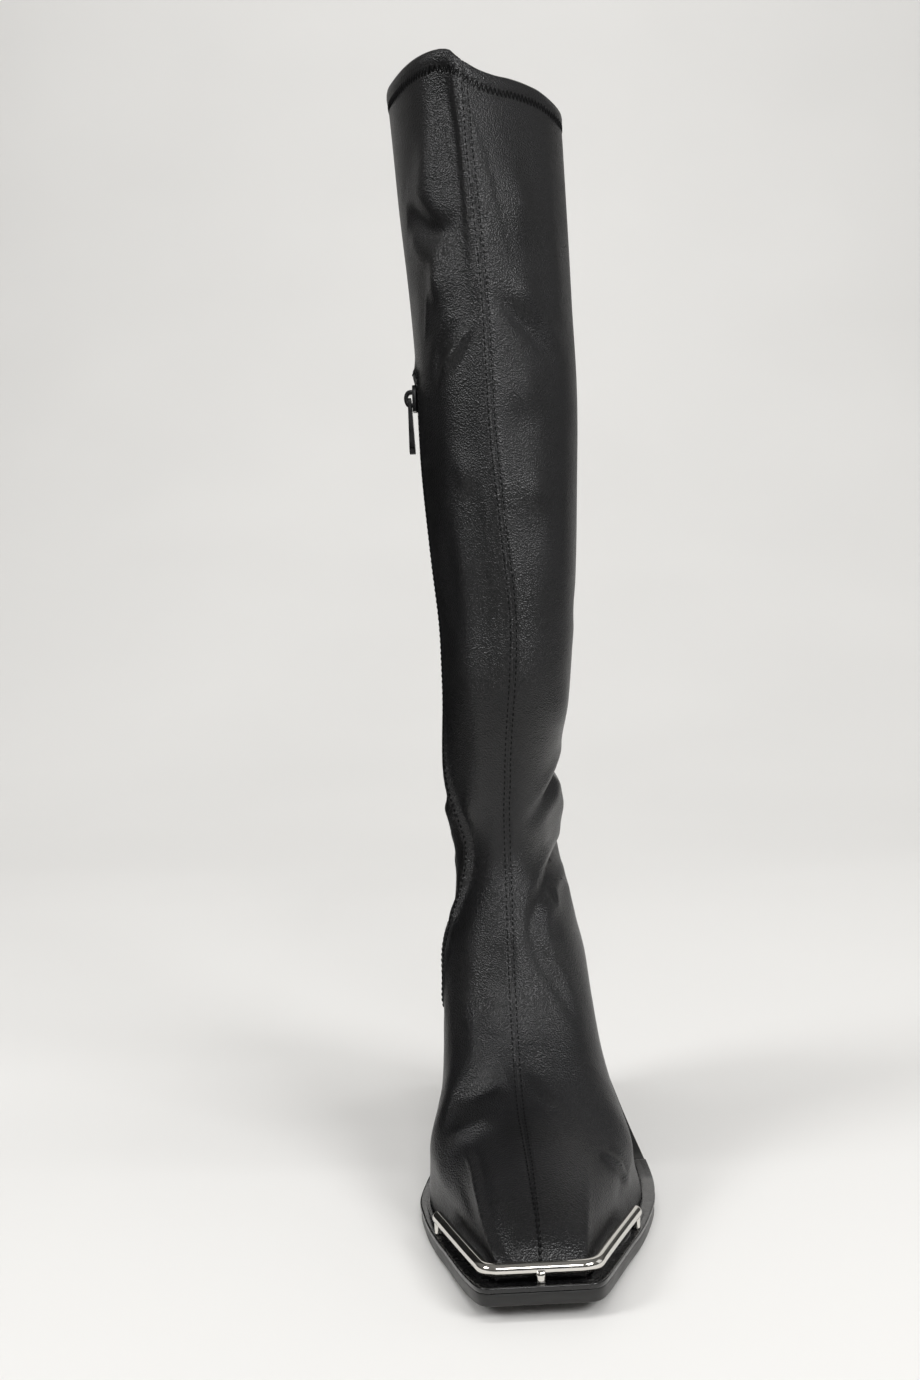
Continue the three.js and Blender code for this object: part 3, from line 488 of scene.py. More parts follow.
relief += facing_thick * (1 - smooth_step(facing_gap, facing - facing_edge, facing + facing_edge))
turned_down = smooth_step(facing_gap, ZIP_GROOVE + ZIP_GROOVE_EDGE[0], ZIP_GROOVE + ZIP_GROOVE_EDGE[1])
relief -= (ZIP_DEPTH + facing_thick) * (1 - turned_down)
for half_width, tall, half_height, amount in ZIP_SWELLS:
    relief += amount * bell(zip_gap, half_width) * bell(zip_height - tall, half_height)
for distance, half_width, tall, half_height, amount in ZIP_SIDES:
    relief += amount * bell(beside_zip - distance, half_width) * bell(height - tall, half_height)
relief[closed, -1] = relief[closed, 0]
skin = base + normals * relief[..., None]
skin_normals = grid_normals(skin)

# The rolled rim, then the lining on a coarser grid.
top, top_out = skin[-1], normals[-1]
rim_up = unit(skin[-1] - skin[-4])
roll_rings = []
for step in range(1, ROLL_STEPS + 1):
    turn = math.pi * step / ROLL_STEPS
    roll_rings.append(top + ROLL_RADIUS * ((math.cos(turn) - 1) * top_out + math.sin(turn) * rim_up))
outside = np.concatenate([skin, roll_rings])
all_closed = np.concatenate([closed, [True] * ROLL_STEPS])
close_ring = int(np.nonzero(closed)[0][0])
lining_rings = sorted({*range(0, rings, LINING_EVERY[0]), close_ring, rings - 1})
lining_columns = sorted({*range(0, columns, LINING_EVERY[1]), columns - 1})
wall = np.full(rings, WALL)
wall[-1] = 2 * ROLL_RADIUS
lining = (skin - normals * wall[:, None, None])[np.ix_(lining_rings, lining_columns)]


def number_grid(first, count_rings, count_columns, joined):
    """Vertex numbers of a grid whose closed rings share their first and last columns."""
    numbers = first + np.arange(count_rings * count_columns).reshape(count_rings, count_columns)
    numbers[joined, -1] = numbers[joined, 0]
    return numbers


def grid_faces(numbers, turned=False):
    faces = []
    for lower, upper in zip(numbers, numbers[1:]):
        for k in range(len(lower) - 1):
            face = [lower[k], lower[k + 1], upper[k + 1], upper[k]]
            corners = list(dict.fromkeys(int(v) for v in (face[::-1] if turned else face)))
            if len(corners) > 2:
                faces.append(corners)
    return faces


def edge_faces(fine, coarse, stops, turned=False):
    """Faces between a fine edge and a coarse one; stops are the coarse points' places along the fine one."""
    faces = []
    for k, (start, end) in enumerate(zip(stops, stops[1:])):
        face = [*fine[start:end + 1], coarse[k + 1], coarse[k]]
        corners = list(dict.fromkeys(int(v) for v in (face[::-1] if turned else face)))
        if len(corners) > 2:
            faces.append(corners)
    return faces


def mesh_piece(name, points, faces, smooth=True):
    """A new object from points in millimetres, in its place; loose points are left out."""
    mesh = bpy.data.meshes.new(name)
    used = sorted({v for face in faces for v in face})
    place = {v: k for k, v in enumerate(used)}
    mesh.from_pydata([tuple(points[v] * MM) for v in used], [], [[place[v] for v in face] for face in faces])
    mesh.validate()
    if smooth:
        mesh.shade_smooth()
    piece = bpy.data.objects.new(name, mesh)
    bpy.context.collection.objects.link(piece)
    return piece


outer_numbers = number_grid(0, len(outside), columns, all_closed)
lining_numbers = number_grid(outside.shape[0] * columns, len(lining_rings), len(lining_columns),
                             closed[lining_rings])
open_stops = [r for r in lining_rings if r <= close_ring]
upper_faces = grid_faces(outer_numbers, turned=True)
upper_faces += grid_faces(lining_numbers)
upper_faces += edge_faces(outer_numbers[-1], lining_numbers[-1], lining_columns, turned=True)
upper_faces += edge_faces(outer_numbers[0], lining_numbers[0], lining_columns)
upper_faces += edge_faces(outer_numbers[:close_ring + 1, 0], lining_numbers[:len(open_stops), 0], open_stops,
                          turned=True)
upper_faces += edge_faces(outer_numbers[:close_ring + 1, -1], lining_numbers[:len(open_stops), -1], open_stops)
upper = mesh_piece("upper_leather", np.concatenate([outside.reshape(-1, 3), lining.reshape(-1, 3)]),
                   upper_faces)


def linear(hex_colour):
    """An sRGB hex colour as linear RGBA."""
    channels = [int(hex_colour[k:k + 2], 16) / 255 for k in (1, 3, 5)]
    return (*[c / 12.92 if c <= 0.04045 else ((c + 0.055) / 1.055) ** 2.4 for c in channels], 1)


def set_inputs(owner, node, inputs):
    """Sets a node's inputs: a number or colour is set, a socket is linked."""
    for key, value in inputs.items():
        if isinstance(value, bpy.types.NodeSocket):
            getattr(owner, "node_tree", owner).links.new(value, node.inputs[key])
        else:
            node.inputs[key].default_value = value


def add_node(owner, kind, inputs=None, stops=(), **settings):
    """Adds one node to a material, the world or a node tree, with its inputs and settings.

    A colour ramp also takes its stops: position and hex colour of each."""
    node = getattr(owner, "node_tree", owner).nodes.new(kind)
    for key, value in settings.items():
        setattr(node, key, value)
    set_inputs(owner, node, inputs or {})
    if stops:
        for element, (position, colour) in zip(node.color_ramp.elements, stops):
            element.position = position
            element.color = linear(colour)
    return node


def new_material(name):
    """A material with only its shader, and that shader."""
    material = bpy.data.materials.new(name)
    material.use_nodes = True
    return material, material.node_tree.nodes["Principled BSDF"]


# Stretch nappa: calf leather drum-dyed black, buffed, with a thin satin finish. Its grain is a fine pebble of about
# 0.7 mm with finer pores between, over slack unevenness of 12 mm.
leather, shader = new_material("stretch_nappa_leather")
place = add_node(leather, "ShaderNodeTexCoord").outputs["Object"]
grain = add_node(leather, "ShaderNodeTexVoronoi", {"Vector": place, "Scale": 1400.0, "Randomness": 1.0},
                 feature="F1").outputs["Distance"]
pores = add_node(leather, "ShaderNodeTexNoise", {"Vector": place, "Scale": 900.0, "Detail": 3.0,
                                                 "Roughness": 0.6}).outputs["Fac"]
slack = add_node(leather, "ShaderNodeTexNoise", {"Vector": place, "Scale": 85.0, "Detail": 3.0,
                                                 "Roughness": 0.5}).outputs["Fac"]
patches = add_node(leather, "ShaderNodeTexNoise", {"Vector": place, "Scale": 26.0,
                                                   "Detail": 3.0}).outputs["Fac"]
tone = add_node(leather, "ShaderNodeValToRGB", {"Fac": patches},
                stops=((0.3, "#111112"), (0.7, "#171719"))).outputs["Color"]
rubbed = add_node(leather, "ShaderNodeValToRGB", {"Fac": pores},
                  stops=((0.42, "#bdbdbd"), (0.62, "#ffffff"))).outputs["Color"]
mixed = add_node(leather, "ShaderNodeMix", {0: 0.45, 6: tone, 7: rubbed}, data_type="RGBA",
                 blend_type="MULTIPLY").outputs[2]
gloss = add_node(leather, "ShaderNodeMapRange", {"Value": patches, "From Min": 0.3, "From Max": 0.7,
                                                 "To Min": 0.29, "To Max": 0.38}).outputs["Result"]
folds_bump = add_node(leather, "ShaderNodeBump", {"Height": slack, "Strength": 0.16, "Distance": 0.0012})
pore_bump = add_node(leather, "ShaderNodeBump", {"Height": pores, "Strength": 0.6, "Distance": 0.0002,
                                                 "Normal": folds_bump.outputs["Normal"]})
grain_bump = add_node(leather, "ShaderNodeBump", {"Height": grain, "Strength": 0.8, "Distance": 0.0003,
                                                  "Normal": pore_bump.outputs["Normal"]})
set_inputs(leather, shader, {"Base Color": mixed, "Roughness": gloss, "Normal": grain_bump.outputs["Normal"]})
upper.data.materials.append(leather)
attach(upper, "boot")
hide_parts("upper")

# ---------------------------------------------------------------- seam, hem and zip stitching
# Bonded black thread, sunk into the leather: a row on each side of the front and back seams, a zigzag row that
# holds the folded collar, and a row round the zip's facing. Each stitch is one instance along a line on the leather.
THREAD = 0.62
SEAM_STITCH = (2.6, 1.7)            # pitch and length
ZIGZAG_STITCH = (1.3, 4.0)
ZIGZAG_TILT_DEG = 17
SEAM_ENDS_BELOW_HEM = 2.4
FACING_STITCHES = (6.4, 6)          # beside the zip, and past its ends
STITCH_SINK = -0.05


def row_tree(name, sizes):
    """A node tree for a row of like things along a line, with named inputs for its sizes; and those inputs."""
    tree = bpy.data.node_groups.new(name, "GeometryNodeTree")
    face = tree.interface
    face.new_socket("Geometry", in_out="INPUT", socket_type="NodeSocketGeometry")
    for size, start in sizes.items():
        face.new_socket(size, in_out="INPUT", socket_type="NodeSocketFloat").default_value = start
    face.new_socket("Finish", in_out="INPUT", socket_type="NodeSocketMaterial")
    face.new_socket("Geometry", in_out="OUTPUT", socket_type="NodeSocketGeometry")
    return tree, add_node(tree, "NodeGroupInput").outputs


def frames_along(tree, line, pitch):
    """Evenly spaced points along a line, the rotation of each, and a sign that is turned at every second one.

    X runs along the line and Z out of the leather."""
    curve = add_node(tree, "GeometryNodeMeshToCurve", {"Mesh": line})
    spaced = add_node(tree, "GeometryNodeResampleCurve", {"Curve": curve.outputs["Curve"], "Length": pitch},
                       mode="LENGTH")
    out = add_node(tree, "GeometryNodeInputNamedAttribute", {"Name": "out"}, data_type="FLOAT_VECTOR")
    tangent = add_node(tree, "GeometryNodeInputTangent")
    axes = add_node(tree, "FunctionNodeAxesToRotation",
                     {"Primary Axis": out.outputs["Attribute"], "Secondary Axis": tangent.outputs["Tangent"]},
                     primary_axis="Z", secondary_axis="X")
    number = add_node(tree, "GeometryNodeInputIndex").outputs["Index"]
    odd = add_node(tree, "ShaderNodeMath", {0: number, 1: 2.0}, operation="MODULO").outputs[0]
    sign = add_node(tree, "ShaderNodeMath", {0: odd, 1: 2.0, 2: -1.0}, operation="MULTIPLY_ADD").outputs[0]
    return spaced.outputs["Curve"], axes.outputs["Rotation"], sign


def finish_tree(tree, geometry, finish):
    real = add_node(tree, "GeometryNodeRealizeInstances", {"Geometry": geometry})
    smooth = add_node(tree, "GeometryNodeSetShadeSmooth", {"Geometry": real.outputs["Geometry"]})
    coated = add_node(tree, "GeometryNodeSetMaterial",
                      {"Geometry": smooth.outputs["Geometry"], "Material": finish})
    add_node(tree, "NodeGroupOutput", {"Geometry": coated.outputs["Geometry"]})


# Each stitch lies on the leather, and Tilt turns every second one the other way.
stitches, given = row_tree("stitch_row", {"Pitch": 2.7 * MM, "Stitch Length": 2.0 * MM, "Thread": 0.4 * MM,
                                          "Tilt": 0.0})
points_out, turned_out, sign = frames_along(stitches, given["Geometry"], given["Pitch"])
lean = add_node(stitches, "ShaderNodeMath", {0: sign, 1: given["Tilt"]}, operation="MULTIPLY").outputs[0]
across_row = add_node(stitches, "ShaderNodeMath", {0: given["Tilt"], 1: 0.001},
                      operation="GREATER_THAN").outputs[0]
quarter = add_node(stitches, "ShaderNodeMath", {0: across_row, 1: math.pi / 2, 2: lean},
                    operation="MULTIPLY_ADD").outputs[0]
spin = add_node(stitches, "ShaderNodeCombineXYZ", {"Z": quarter}).outputs["Vector"]
leant = add_node(stitches, "FunctionNodeRotateRotation", {"Rotation": turned_out, "Rotate By": spin},
                  rotation_space="LOCAL").outputs["Rotation"]
bead = add_node(stitches, "GeometryNodeMeshIcoSphere", {"Radius": 0.5, "Subdivisions": 2}).outputs["Mesh"]
size = add_node(stitches, "ShaderNodeCombineXYZ", {"X": given["Stitch Length"], "Y": given["Thread"],
                                                    "Z": given["Thread"]}).outputs["Vector"]
placed = add_node(stitches, "GeometryNodeInstanceOnPoints",
                   {"Points": points_out, "Instance": bead, "Rotation": leant, "Scale": size})
finish_tree(stitches, placed.outputs["Instances"], given["Finish"])

thread, shader = new_material("bonded_nylon_thread")
# Twisted black nylon thread, dull, with its twist as fine slanted ribs. Its colour is kept darker than the leather's
# as painted shade of the stitch holes.
place = add_node(thread, "ShaderNodeTexCoord").outputs["Object"]
twist = add_node(thread, "ShaderNodeTexWave", {"Vector": place, "Scale": 900.0, "Distortion": 1.0},
                 bands_direction="DIAGONAL").outputs["Fac"]
# The thread's near-black colour is partly its own and partly painted shade of the holes it is sunk into.
tone = add_node(thread, "ShaderNodeValToRGB", {"Fac": twist}, stops=((0.0, "#030303"), (1.0, "#0a0a0b")))
ribs = add_node(thread, "ShaderNodeBump", {"Height": twist, "Strength": 0.4, "Distance": 0.0001})
set_inputs(thread, shader, {"Base Color": tone.outputs["Color"], "Roughness": 0.6, "Specular IOR Level": 0.15,
                            "Normal": ribs.outputs["Normal"]})


def run_along(name, tree, points, out, values, finish):
    """A plain mesh made by a node tree along a line of points, in millimetres, with the way out at each."""
    mesh = bpy.data.meshes.new(name)
    mesh.from_pydata([tuple(p * MM) for p in points], [(k, k + 1) for k in range(len(points) - 1)], [])
    attribute = mesh.attributes.new("out", "FLOAT_VECTOR", "POINT")
    attribute.data.foreach_set("vector", np.asarray(out, np.float32).ravel())
    line = bpy.data.objects.new(name + "_line", mesh)
    bpy.context.collection.objects.link(line)
    modifier = line.modifiers.new("row", "NODES")
    modifier.node_group = tree
    sockets = {item.name: item.identifier for item in tree.interface.items_tree
               if item.item_type == "SOCKET" and item.in_out == "INPUT"}
    for key, value in {**values, "Finish": finish}.items():
        modifier[sockets[key]] = value
    graph = bpy.context.evaluated_depsgraph_get()
    made = bpy.data.meshes.new_from_object(line.evaluated_get(graph), depsgraph=graph)
    made.name = name
    bpy.data.objects.remove(line)
    if not made.materials:
        made.materials.append(finish)
    piece = bpy.data.objects.new(name, made)
    bpy.context.collection.objects.link(piece)
    return piece


def stitch_row(name, points, out, stitch=SEAM_STITCH, tilt_deg=0):
    pitch, length = stitch
    lifted = points + out * (STITCH_SINK + THREAD * 0.2)
    piece = run_along(name, stitches, lifted, out, {
        "Pitch": pitch * MM, "Stitch Length": length * MM, "Thread": THREAD * MM,
        "Tilt": math.radians(tilt_deg),
    }, thread)
    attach(piece, "boot")
    return piece


hem_ring = int(np.abs(below_rim - HEM_HEIGHT).argmin())
seam_top = int(np.abs(below_rim - HEM_HEIGHT - SEAM_ENDS_BELOW_HEM).argmin())
for side, column in (("outer", seam_column - 3), ("inner", seam_column + 3)):
    stitch_row(f"front_seam_stitches_{side}", skin[3:seam_top, column], skin_normals[3:seam_top, column])
for side, column in (("outer", 1), ("inner", columns - 2)):
    stitch_row(f"back_seam_stitches_{side}", skin[close_ring + 4:seam_top, column],
               skin_normals[close_ring + 4:seam_top, column])
hem_line = np.concatenate([skin[hem_ring], skin[hem_ring, :1]])
hem_out = np.concatenate([skin_normals[hem_ring], skin_normals[hem_ring, :1]])
stitch_row("collar_zigzag_stitches", hem_line, hem_out, ZIGZAG_STITCH, ZIGZAG_TILT_DEG)
facing_at, facing_past = FACING_STITCHES
facing_steps = int(np.abs(BESIDE_ZIP - facing_at).argmin()) - len(BESIDE_ZIP) // 2
zip_rings = np.nonzero((height[:, zip_column] > ZIP_LOW[1] - facing_past)
                       & (height[:, zip_column] < ZIP_TOP[1] + facing_past))[0]
facing_loop = [(ring, zip_column - facing_steps) for ring in zip_rings]
facing_loop += [(zip_rings[-1], column)
                for column in range(zip_column - facing_steps + 1, zip_column + facing_steps)]
facing_loop += [(ring, zip_column + facing_steps) for ring in zip_rings[::-1]]
facing_loop += [(zip_rings[0], column)
                for column in range(zip_column + facing_steps - 1, zip_column - facing_steps - 1, -1)]
facing_line = np.array([skin[spot] for spot in facing_loop])
facing_out = np.array([skin_normals[spot] for spot in facing_loop])
stitch_row("zip_facing_stitches", facing_line, facing_out)

# ---------------------------------------------------------------- zip
# A closed coil zip in the slit on the inner side: woven tape, interlocking moulded teeth, and a small painted
# slider whose flat pull hangs down. The tab is the only part that moves.
TAPE_DEPTH, TAPE_HALF_WIDTH, TAPE_THICK = 1.35, 2.5, 0.5
TEETH_DEPTH = 0.75
TOOTH = (0.95, 2.5, 0.9)            # along the zip, across it and outwards
TOOTH_PITCH = 1.3
TOOTH_OFFSET = 0.45                 # each side's teeth reach this far past the middle

chain_rings = np.nonzero((height[:, zip_column] > ZIP_LOW[1] + 0.8)
                         & (height[:, zip_column] < ZIP_TOP[1] - 1))[0]
chain_out = normals[chain_rings, zip_column]
chain_line = base[chain_rings, zip_column]
chain_along = unit(np.gradient(chain_line, axis=0))
chain_side = unit(np.cross(chain_out, chain_along))

tape_points = []
for spot, out, side in zip(chain_line, chain_out, chain_side):
    for sideways, deep in ((-1, 0), (1, 0), (1, 1), (-1, 1)):
        tape_points.append(spot - out * (TAPE_DEPTH + deep * TAPE_THICK) + side * sideways * TAPE_HALF_WIDTH)
tape_faces = []
for k in range(len(chain_line) - 1):
    for corner in range(4):
        after = (corner + 1) % 4
        tape_faces.append([4 * k + corner, 4 * k + 4 + corner, 4 * k + 4 + after, 4 * k + after])
tape_faces += [[0, 1, 2, 3], [len(tape_points) - 1 - corner for corner in range(4)]]
tape = mesh_piece("zip_tape", np.array(tape_points), tape_faces, smooth=False)
# Woven polyester tape, dyed black: a matt herringbone rib of about 0.7 mm.
weave, shader = new_material("woven_polyester_tape")
place = add_node(weave, "ShaderNodeTexCoord").outputs["Object"]
rib = add_node(weave, "ShaderNodeTexWave", {"Vector": place, "Scale": 460.0, "Distortion": 0.6},
               bands_direction="Z").outputs["Fac"]
tone = add_node(weave, "ShaderNodeValToRGB", {"Fac": rib}, stops=((0.0, "#08080a"), (1.0, "#161618")))
bumped = add_node(weave, "ShaderNodeBump", {"Height": rib, "Strength": 0.6, "Distance": 0.0002})
set_inputs(weave, shader, {"Base Color": tone.outputs["Color"], "Roughness": 0.8,
                           "Normal": bumped.outputs["Normal"]})
tape.data.materials.append(weave)

sizes = ("Pitch", "Tooth Length", "Tooth Width", "Tooth Height", "Offset")
teeth, given = row_tree("zip_teeth", dict.fromkeys(sizes, MM))
half_pitch = add_node(teeth, "ShaderNodeMath", {0: given["Pitch"], 1: 0.5}, operation="MULTIPLY").outputs[0]
points_out, turned_out, sign = frames_along(teeth, given["Geometry"], half_pitch)
shift = add_node(teeth, "ShaderNodeMath", {0: sign, 1: given["Offset"]}, operation="MULTIPLY").outputs[0]
box_size = add_node(teeth, "ShaderNodeCombineXYZ", {"X": given["Tooth Length"], "Y": given["Tooth Width"],
                                                     "Z": given["Tooth Height"]}).outputs["Vector"]
block = add_node(teeth, "GeometryNodeMeshCube", {"Size": (1, 1, 1)}).outputs["Mesh"]
rounded_block = add_node(teeth, "GeometryNodeSubdivisionSurface", {
    "Mesh": block, "Level": 2, "Edge Crease": 0.55}).outputs["Mesh"]
placed = add_node(teeth, "GeometryNodeInstanceOnPoints",
                   {"Points": points_out, "Instance": rounded_block, "Rotation": turned_out, "Scale": box_size})
shift_by = add_node(teeth, "ShaderNodeCombineXYZ", {"Y": shift}).outputs["Vector"]
moved = add_node(teeth, "GeometryNodeTranslateInstances",
                  {"Instances": placed.outputs["Instances"], "Translation": shift_by})
finish_tree(teeth, moved.outputs["Instances"], given["Finish"])

# Moulded acetal teeth, black, with random lighter patches: wear, and painted sheen standing in for the shine where
# the slider has run over them.
acetal, shader = new_material("moulded_acetal_teeth")
place = add_node(acetal, "ShaderNodeTexCoord").outputs["Object"]
wear_and_sheen = add_node(acetal, "ShaderNodeTexNoise", {"Vector": place, "Scale": 500.0, "Detail": 2.0}).outputs["Fac"]
tone = add_node(acetal, "ShaderNodeValToRGB", {"Fac": wear_and_sheen}, stops=((0.35, "#0d0d0f"), (0.7, "#1b1b1e")))
set_inputs(acetal, shader, {"Base Color": tone.outputs["Color"], "Roughness": 0.3})
chain = run_along("zip_teeth", teeth, chain_line - chain_out * TEETH_DEPTH, chain_out, {
    "Pitch": TOOTH_PITCH * MM, "Tooth Length": TOOTH[0] * MM, "Tooth Width": TOOTH[1] * MM,
    "Tooth Height": TOOTH[2] * MM, "Offset": TOOTH_OFFSET * MM,
}, acetal)
for piece in (tape, chain):
    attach(piece, "boot")
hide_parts("zip_chain")


def softened_copy(node, name, width, segments=2):
    """A copy of a CAD node with its loose triangles joined and its edges rounded off."""
    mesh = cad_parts[node].data.copy()
    mesh.name = name
    form = bmesh.new()
    form.from_mesh(mesh)
    bmesh.ops.remove_doubles(form, verts=form.verts, dist=0.00001)
    bmesh.ops.dissolve_limit(form, angle_limit=math.radians(3), verts=form.verts, edges=form.edges)
    form.to_mesh(mesh)
    form.free()
    mesh.materials.clear()
    piece = bpy.data.objects.new(name, mesh)
    bpy.context.collection.objects.link(piece)
    bevel = piece.modifiers.new("rounding", "BEVEL")
    bevel.width = width * MM
    bevel.segments = segments
    bevel.limit_method = "ANGLE"
    bevel.angle_limit = math.radians(35)
    mesh.shade_smooth()
    weighted = piece.modifiers.new("even shading", "WEIGHTED_NORMAL")
    weighted.keep_sharp = True
    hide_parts(node)
    return piece


# Zinc die-casting with baked black enamel: smooth and satin, rubbed a little brighter on its high spots.
enamel, shader = new_material("baked_black_enamel")
place = add_node(enamel, "ShaderNodeTexCoord").outputs["Object"]
rub = add_node(enamel, "ShaderNodeTexNoise", {"Vector": place, "Scale": 300.0, "Detail": 4.0}).outputs["Fac"]
tone = add_node(enamel, "ShaderNodeValToRGB", {"Fac": rub}, stops=((0.4, "#09090a"), (0.75, "#161618")))
gloss = add_node(enamel, "ShaderNodeMapRange", {"Value": rub, "From Min": 0.3, "From Max": 0.7,
                                                "To Min": 0.24, "To Max": 0.4})
set_inputs(enamel, shader, {"Base Color": tone.outputs["Color"], "Roughness": gloss.outputs["Result"],
                            "Specular IOR Level": 0.3})
slider = softened_copy("zip_slider", "zip_slider_body", 0.35)
slider.data.materials.append(enamel)
# A stout bridge over the slider's own thin one leaves only a small eye for the pull's crossbar.
BRIDGE_FOOT_X, BRIDGE_Y, BRIDGE_Z = -43.3, -77.8, 351.2
BRIDGE_OUTER, BRIDGE_INNER = (4.0, 4.2), (2.1, 2.5)         # half length and rise
BRIDGE_HALF_WIDTH = 1.3
BRIDGE_ROUNDING, BRIDGE_EDGE_DEG = 0.35, 50
sweep_turn = np.linspace(0, math.pi, 25)
bridge_rows = []
for (half_length, rise), sideways in (
        (BRIDGE_OUTER, -1), (BRIDGE_OUTER, 1), (BRIDGE_INNER, 1), (BRIDGE_INNER, -1)):
    bridge_rows.append(np.stack([
        BRIDGE_FOOT_X - rise * np.sin(sweep_turn).clip(0) ** 0.6,
        np.full(len(sweep_turn), BRIDGE_Y + sideways * BRIDGE_HALF_WIDTH),
        BRIDGE_Z + half_length * np.cos(sweep_turn)], -1))
numbers = np.arange(4 * len(sweep_turn)).reshape(4, -1)
bridge_faces = grid_faces(np.concatenate([numbers, numbers[:1]])[::-1])
bridge_faces += [[int(v) for v in numbers[::-1, 0]], [int(v) for v in numbers[:, -1]]]
bridge = mesh_piece("zip_slider_bridge", np.concatenate(bridge_rows), bridge_faces)
bridge.data.materials.append(enamel)
rounding = bridge.modifiers.new("rounding", "BEVEL")
rounding.width = BRIDGE_ROUNDING * MM
rounding.segments = 3
rounding.limit_method = "ANGLE"
rounding.angle_limit = math.radians(BRIDGE_EDGE_DEG)
for piece in (slider, bridge):
    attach(piece, "boot")

# The pull thickens towards its end, on the side that lies against the leather.
PULL_HINGE_X, PULL_TOP_Z, PULL_BOTTOM_Z, PULL_WEDGE = -44.93, 350, 326, 1.2
pull = softened_copy("zip_pull", "zip_pull_tab", 0.3)
for vertex in pull.data.vertices:
    if vertex.co.x > PULL_HINGE_X * MM:
        share = (PULL_TOP_Z * MM - vertex.co.z) / ((PULL_TOP_Z - PULL_BOTTOM_Z) * MM)
        vertex.co.x += PULL_WEDGE * MM * min(max(share, 0), 1)
pull.data.materials.append(enamel)
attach(pull, "zip_pull")

# ---------------------------------------------------------------- welt and outsole
# A welt lies round the forefoot as a glossy ledge with a fine bead, on a sole with rounded edges that rises through
# the arch to the heel breast. Both follow the outline of the last's sole and are cemented together.
OUTLINE = np.array([
    # y, x of the inner edge, x of the outer edge
    (-233, -19, 18.6), (-231.8, -21.2, 20.8), (-229, -23.2, 22.8), (-226, -24.5, 24), (-210, -29.6, 29),
    (-193, -34.6, 34.4), (-175, -40.2, 40.4), (-155, -45.2, 45.8), (-135, -48, 49.6), (-116, -46.6, 50.8),
    (-100, -42.6, 49.2), (-85, -37.2, 45.2), (-70, -32.2, 39.6), (-50, -28, 32), (-30, -27.4, 27.4),
    (-18, -28, 26.2), (0, -28.4, 25.4), (12, -26.2, 23.2), (20, -20.6, 17.6), (24.5, -12.6, 9.8),
    (26, -6.5, 3.8),
])
WELT_THICK = 2.2
WELT_BACK_Y = -101
BREAST_Y = -20
SPINE_FRONT_Y = -208
SPINE_LEAN = 0.3
# Profiles from the top inwards to the bottom inwards: distance in from the edge, and height below the top.
WELT_PROFILE = ((9, 0.04), (3.1, 0.04), (2.85, 0.12), (2.6, 0.04), (2.3, 0), (0.75, 0), (0.35, 0.05),
                (0.1, 0.22), (0, 0.55), (0.02, 1.5), (0.16, 1.9), (0.5, 2.12), (1.2, WELT_THICK),
                (9, WELT_THICK))
SOLE_ROUNDING = ((1.4, 0), (0.45, 0.05), (0.14, 0.22), (0, 0.6))


def even_spacing(points, spacing):
    """Points at even distances along a line."""
    length = np.concatenate([[0], np.cumsum(np.linalg.norm(np.diff(points, axis=0), axis=1))])
    places = np.linspace(0, length[-1], int(round(length[-1] / spacing)) + 1)
    return np.stack([np.interp(places, length, points[:, k]) for k in range(points.shape[1])], -1)


def rounded_corners(points, passes):
    """Softens the corners of an evenly spaced line and keeps its ends."""
    points = points.copy()
    for _ in range(passes):
        points[1:-1] = (points[:-2] + 2 * points[1:-1] + points[2:]) / 4
    return points


def forefoot_edge(back_y, inset, spacing=0.7):
    """The sole's edge from the outer side round the toe to the inner side, with the way in at each point."""
    y = np.linspace(back_y, OUTLINE[0, 0], 400)
    outer = np.stack([smooth_along(OUTLINE, y, 2), y], -1)
    inner = np.stack([smooth_along(OUTLINE, y, 1), y], -1)
    edge = rounded_corners(even_spacing(np.concatenate([outer, inner[::-1]]), spacing), 5)
    ahead = unit(np.gradient(edge, axis=0))
    inwards = np.stack([ahead[:, 1], -ahead[:, 0]], -1)
    edge = edge + inwards * inset
    spine = np.stack([SPINE_LEAN * edge[:, 0], np.maximum(edge[:, 1], SPINE_FRONT_Y)], -1)
    towards = unit(spine - edge)
    lean = np.maximum((towards * inwards).sum(-1), 0.5)
    return edge, towards / lean[:, None]


def slab_rings(edge, inwards, profile, top):
    """Grid of a plate: one row of points for each place on its profile."""
    rows = []
    for inset, drop in profile:
        places = edge + inwards * inset
        deep = drop(places[:, 1]) if callable(drop) else drop
        rows.append(slanted(np.stack([places[:, 0], places[:, 1], top(places[:, 1]) - deep], -1)))
    return np.array(rows)


def ring_piece(name, rows):
    """A closed strip from rows of points round a profile: its ends are filled."""
    count, length = rows.shape[:2]
    numbers = np.arange(count * length).reshape(count, length)
    numbers = np.concatenate([numbers, numbers[:1]])
    faces = grid_faces(numbers)
    faces += [[int(v) for v in numbers[:-1, 0]], [int(v) for v in numbers[-2::-1, -1]]]
    return mesh_piece(name, rows.reshape(-1, 3), faces)


edge, inwards = forefoot_edge(WELT_BACK_Y, 0)
welt = ring_piece("welt_ledge", slab_rings(edge, inwards, WELT_PROFILE, sole_top))

# The sole is lofted from back to front: each ring goes once round a cut across it.
SOLE_INSET = 0.5
SOLE_UNDER_WELT = WELT_THICK + 0.06
SOLE_STEP = (WELT_BACK_Y + 0.4, WELT_BACK_Y - 0.4)      # the sole's top drops under the welt between these


def outsole_top(y):
    return sole_top(y) - SOLE_UNDER_WELT * smooth_step(-y, -SOLE_STEP[0], -SOLE_STEP[1])


def outsole_bottom(y):
    return sole_top(y) - smooth_along(SOLE_LINE, y, 2)


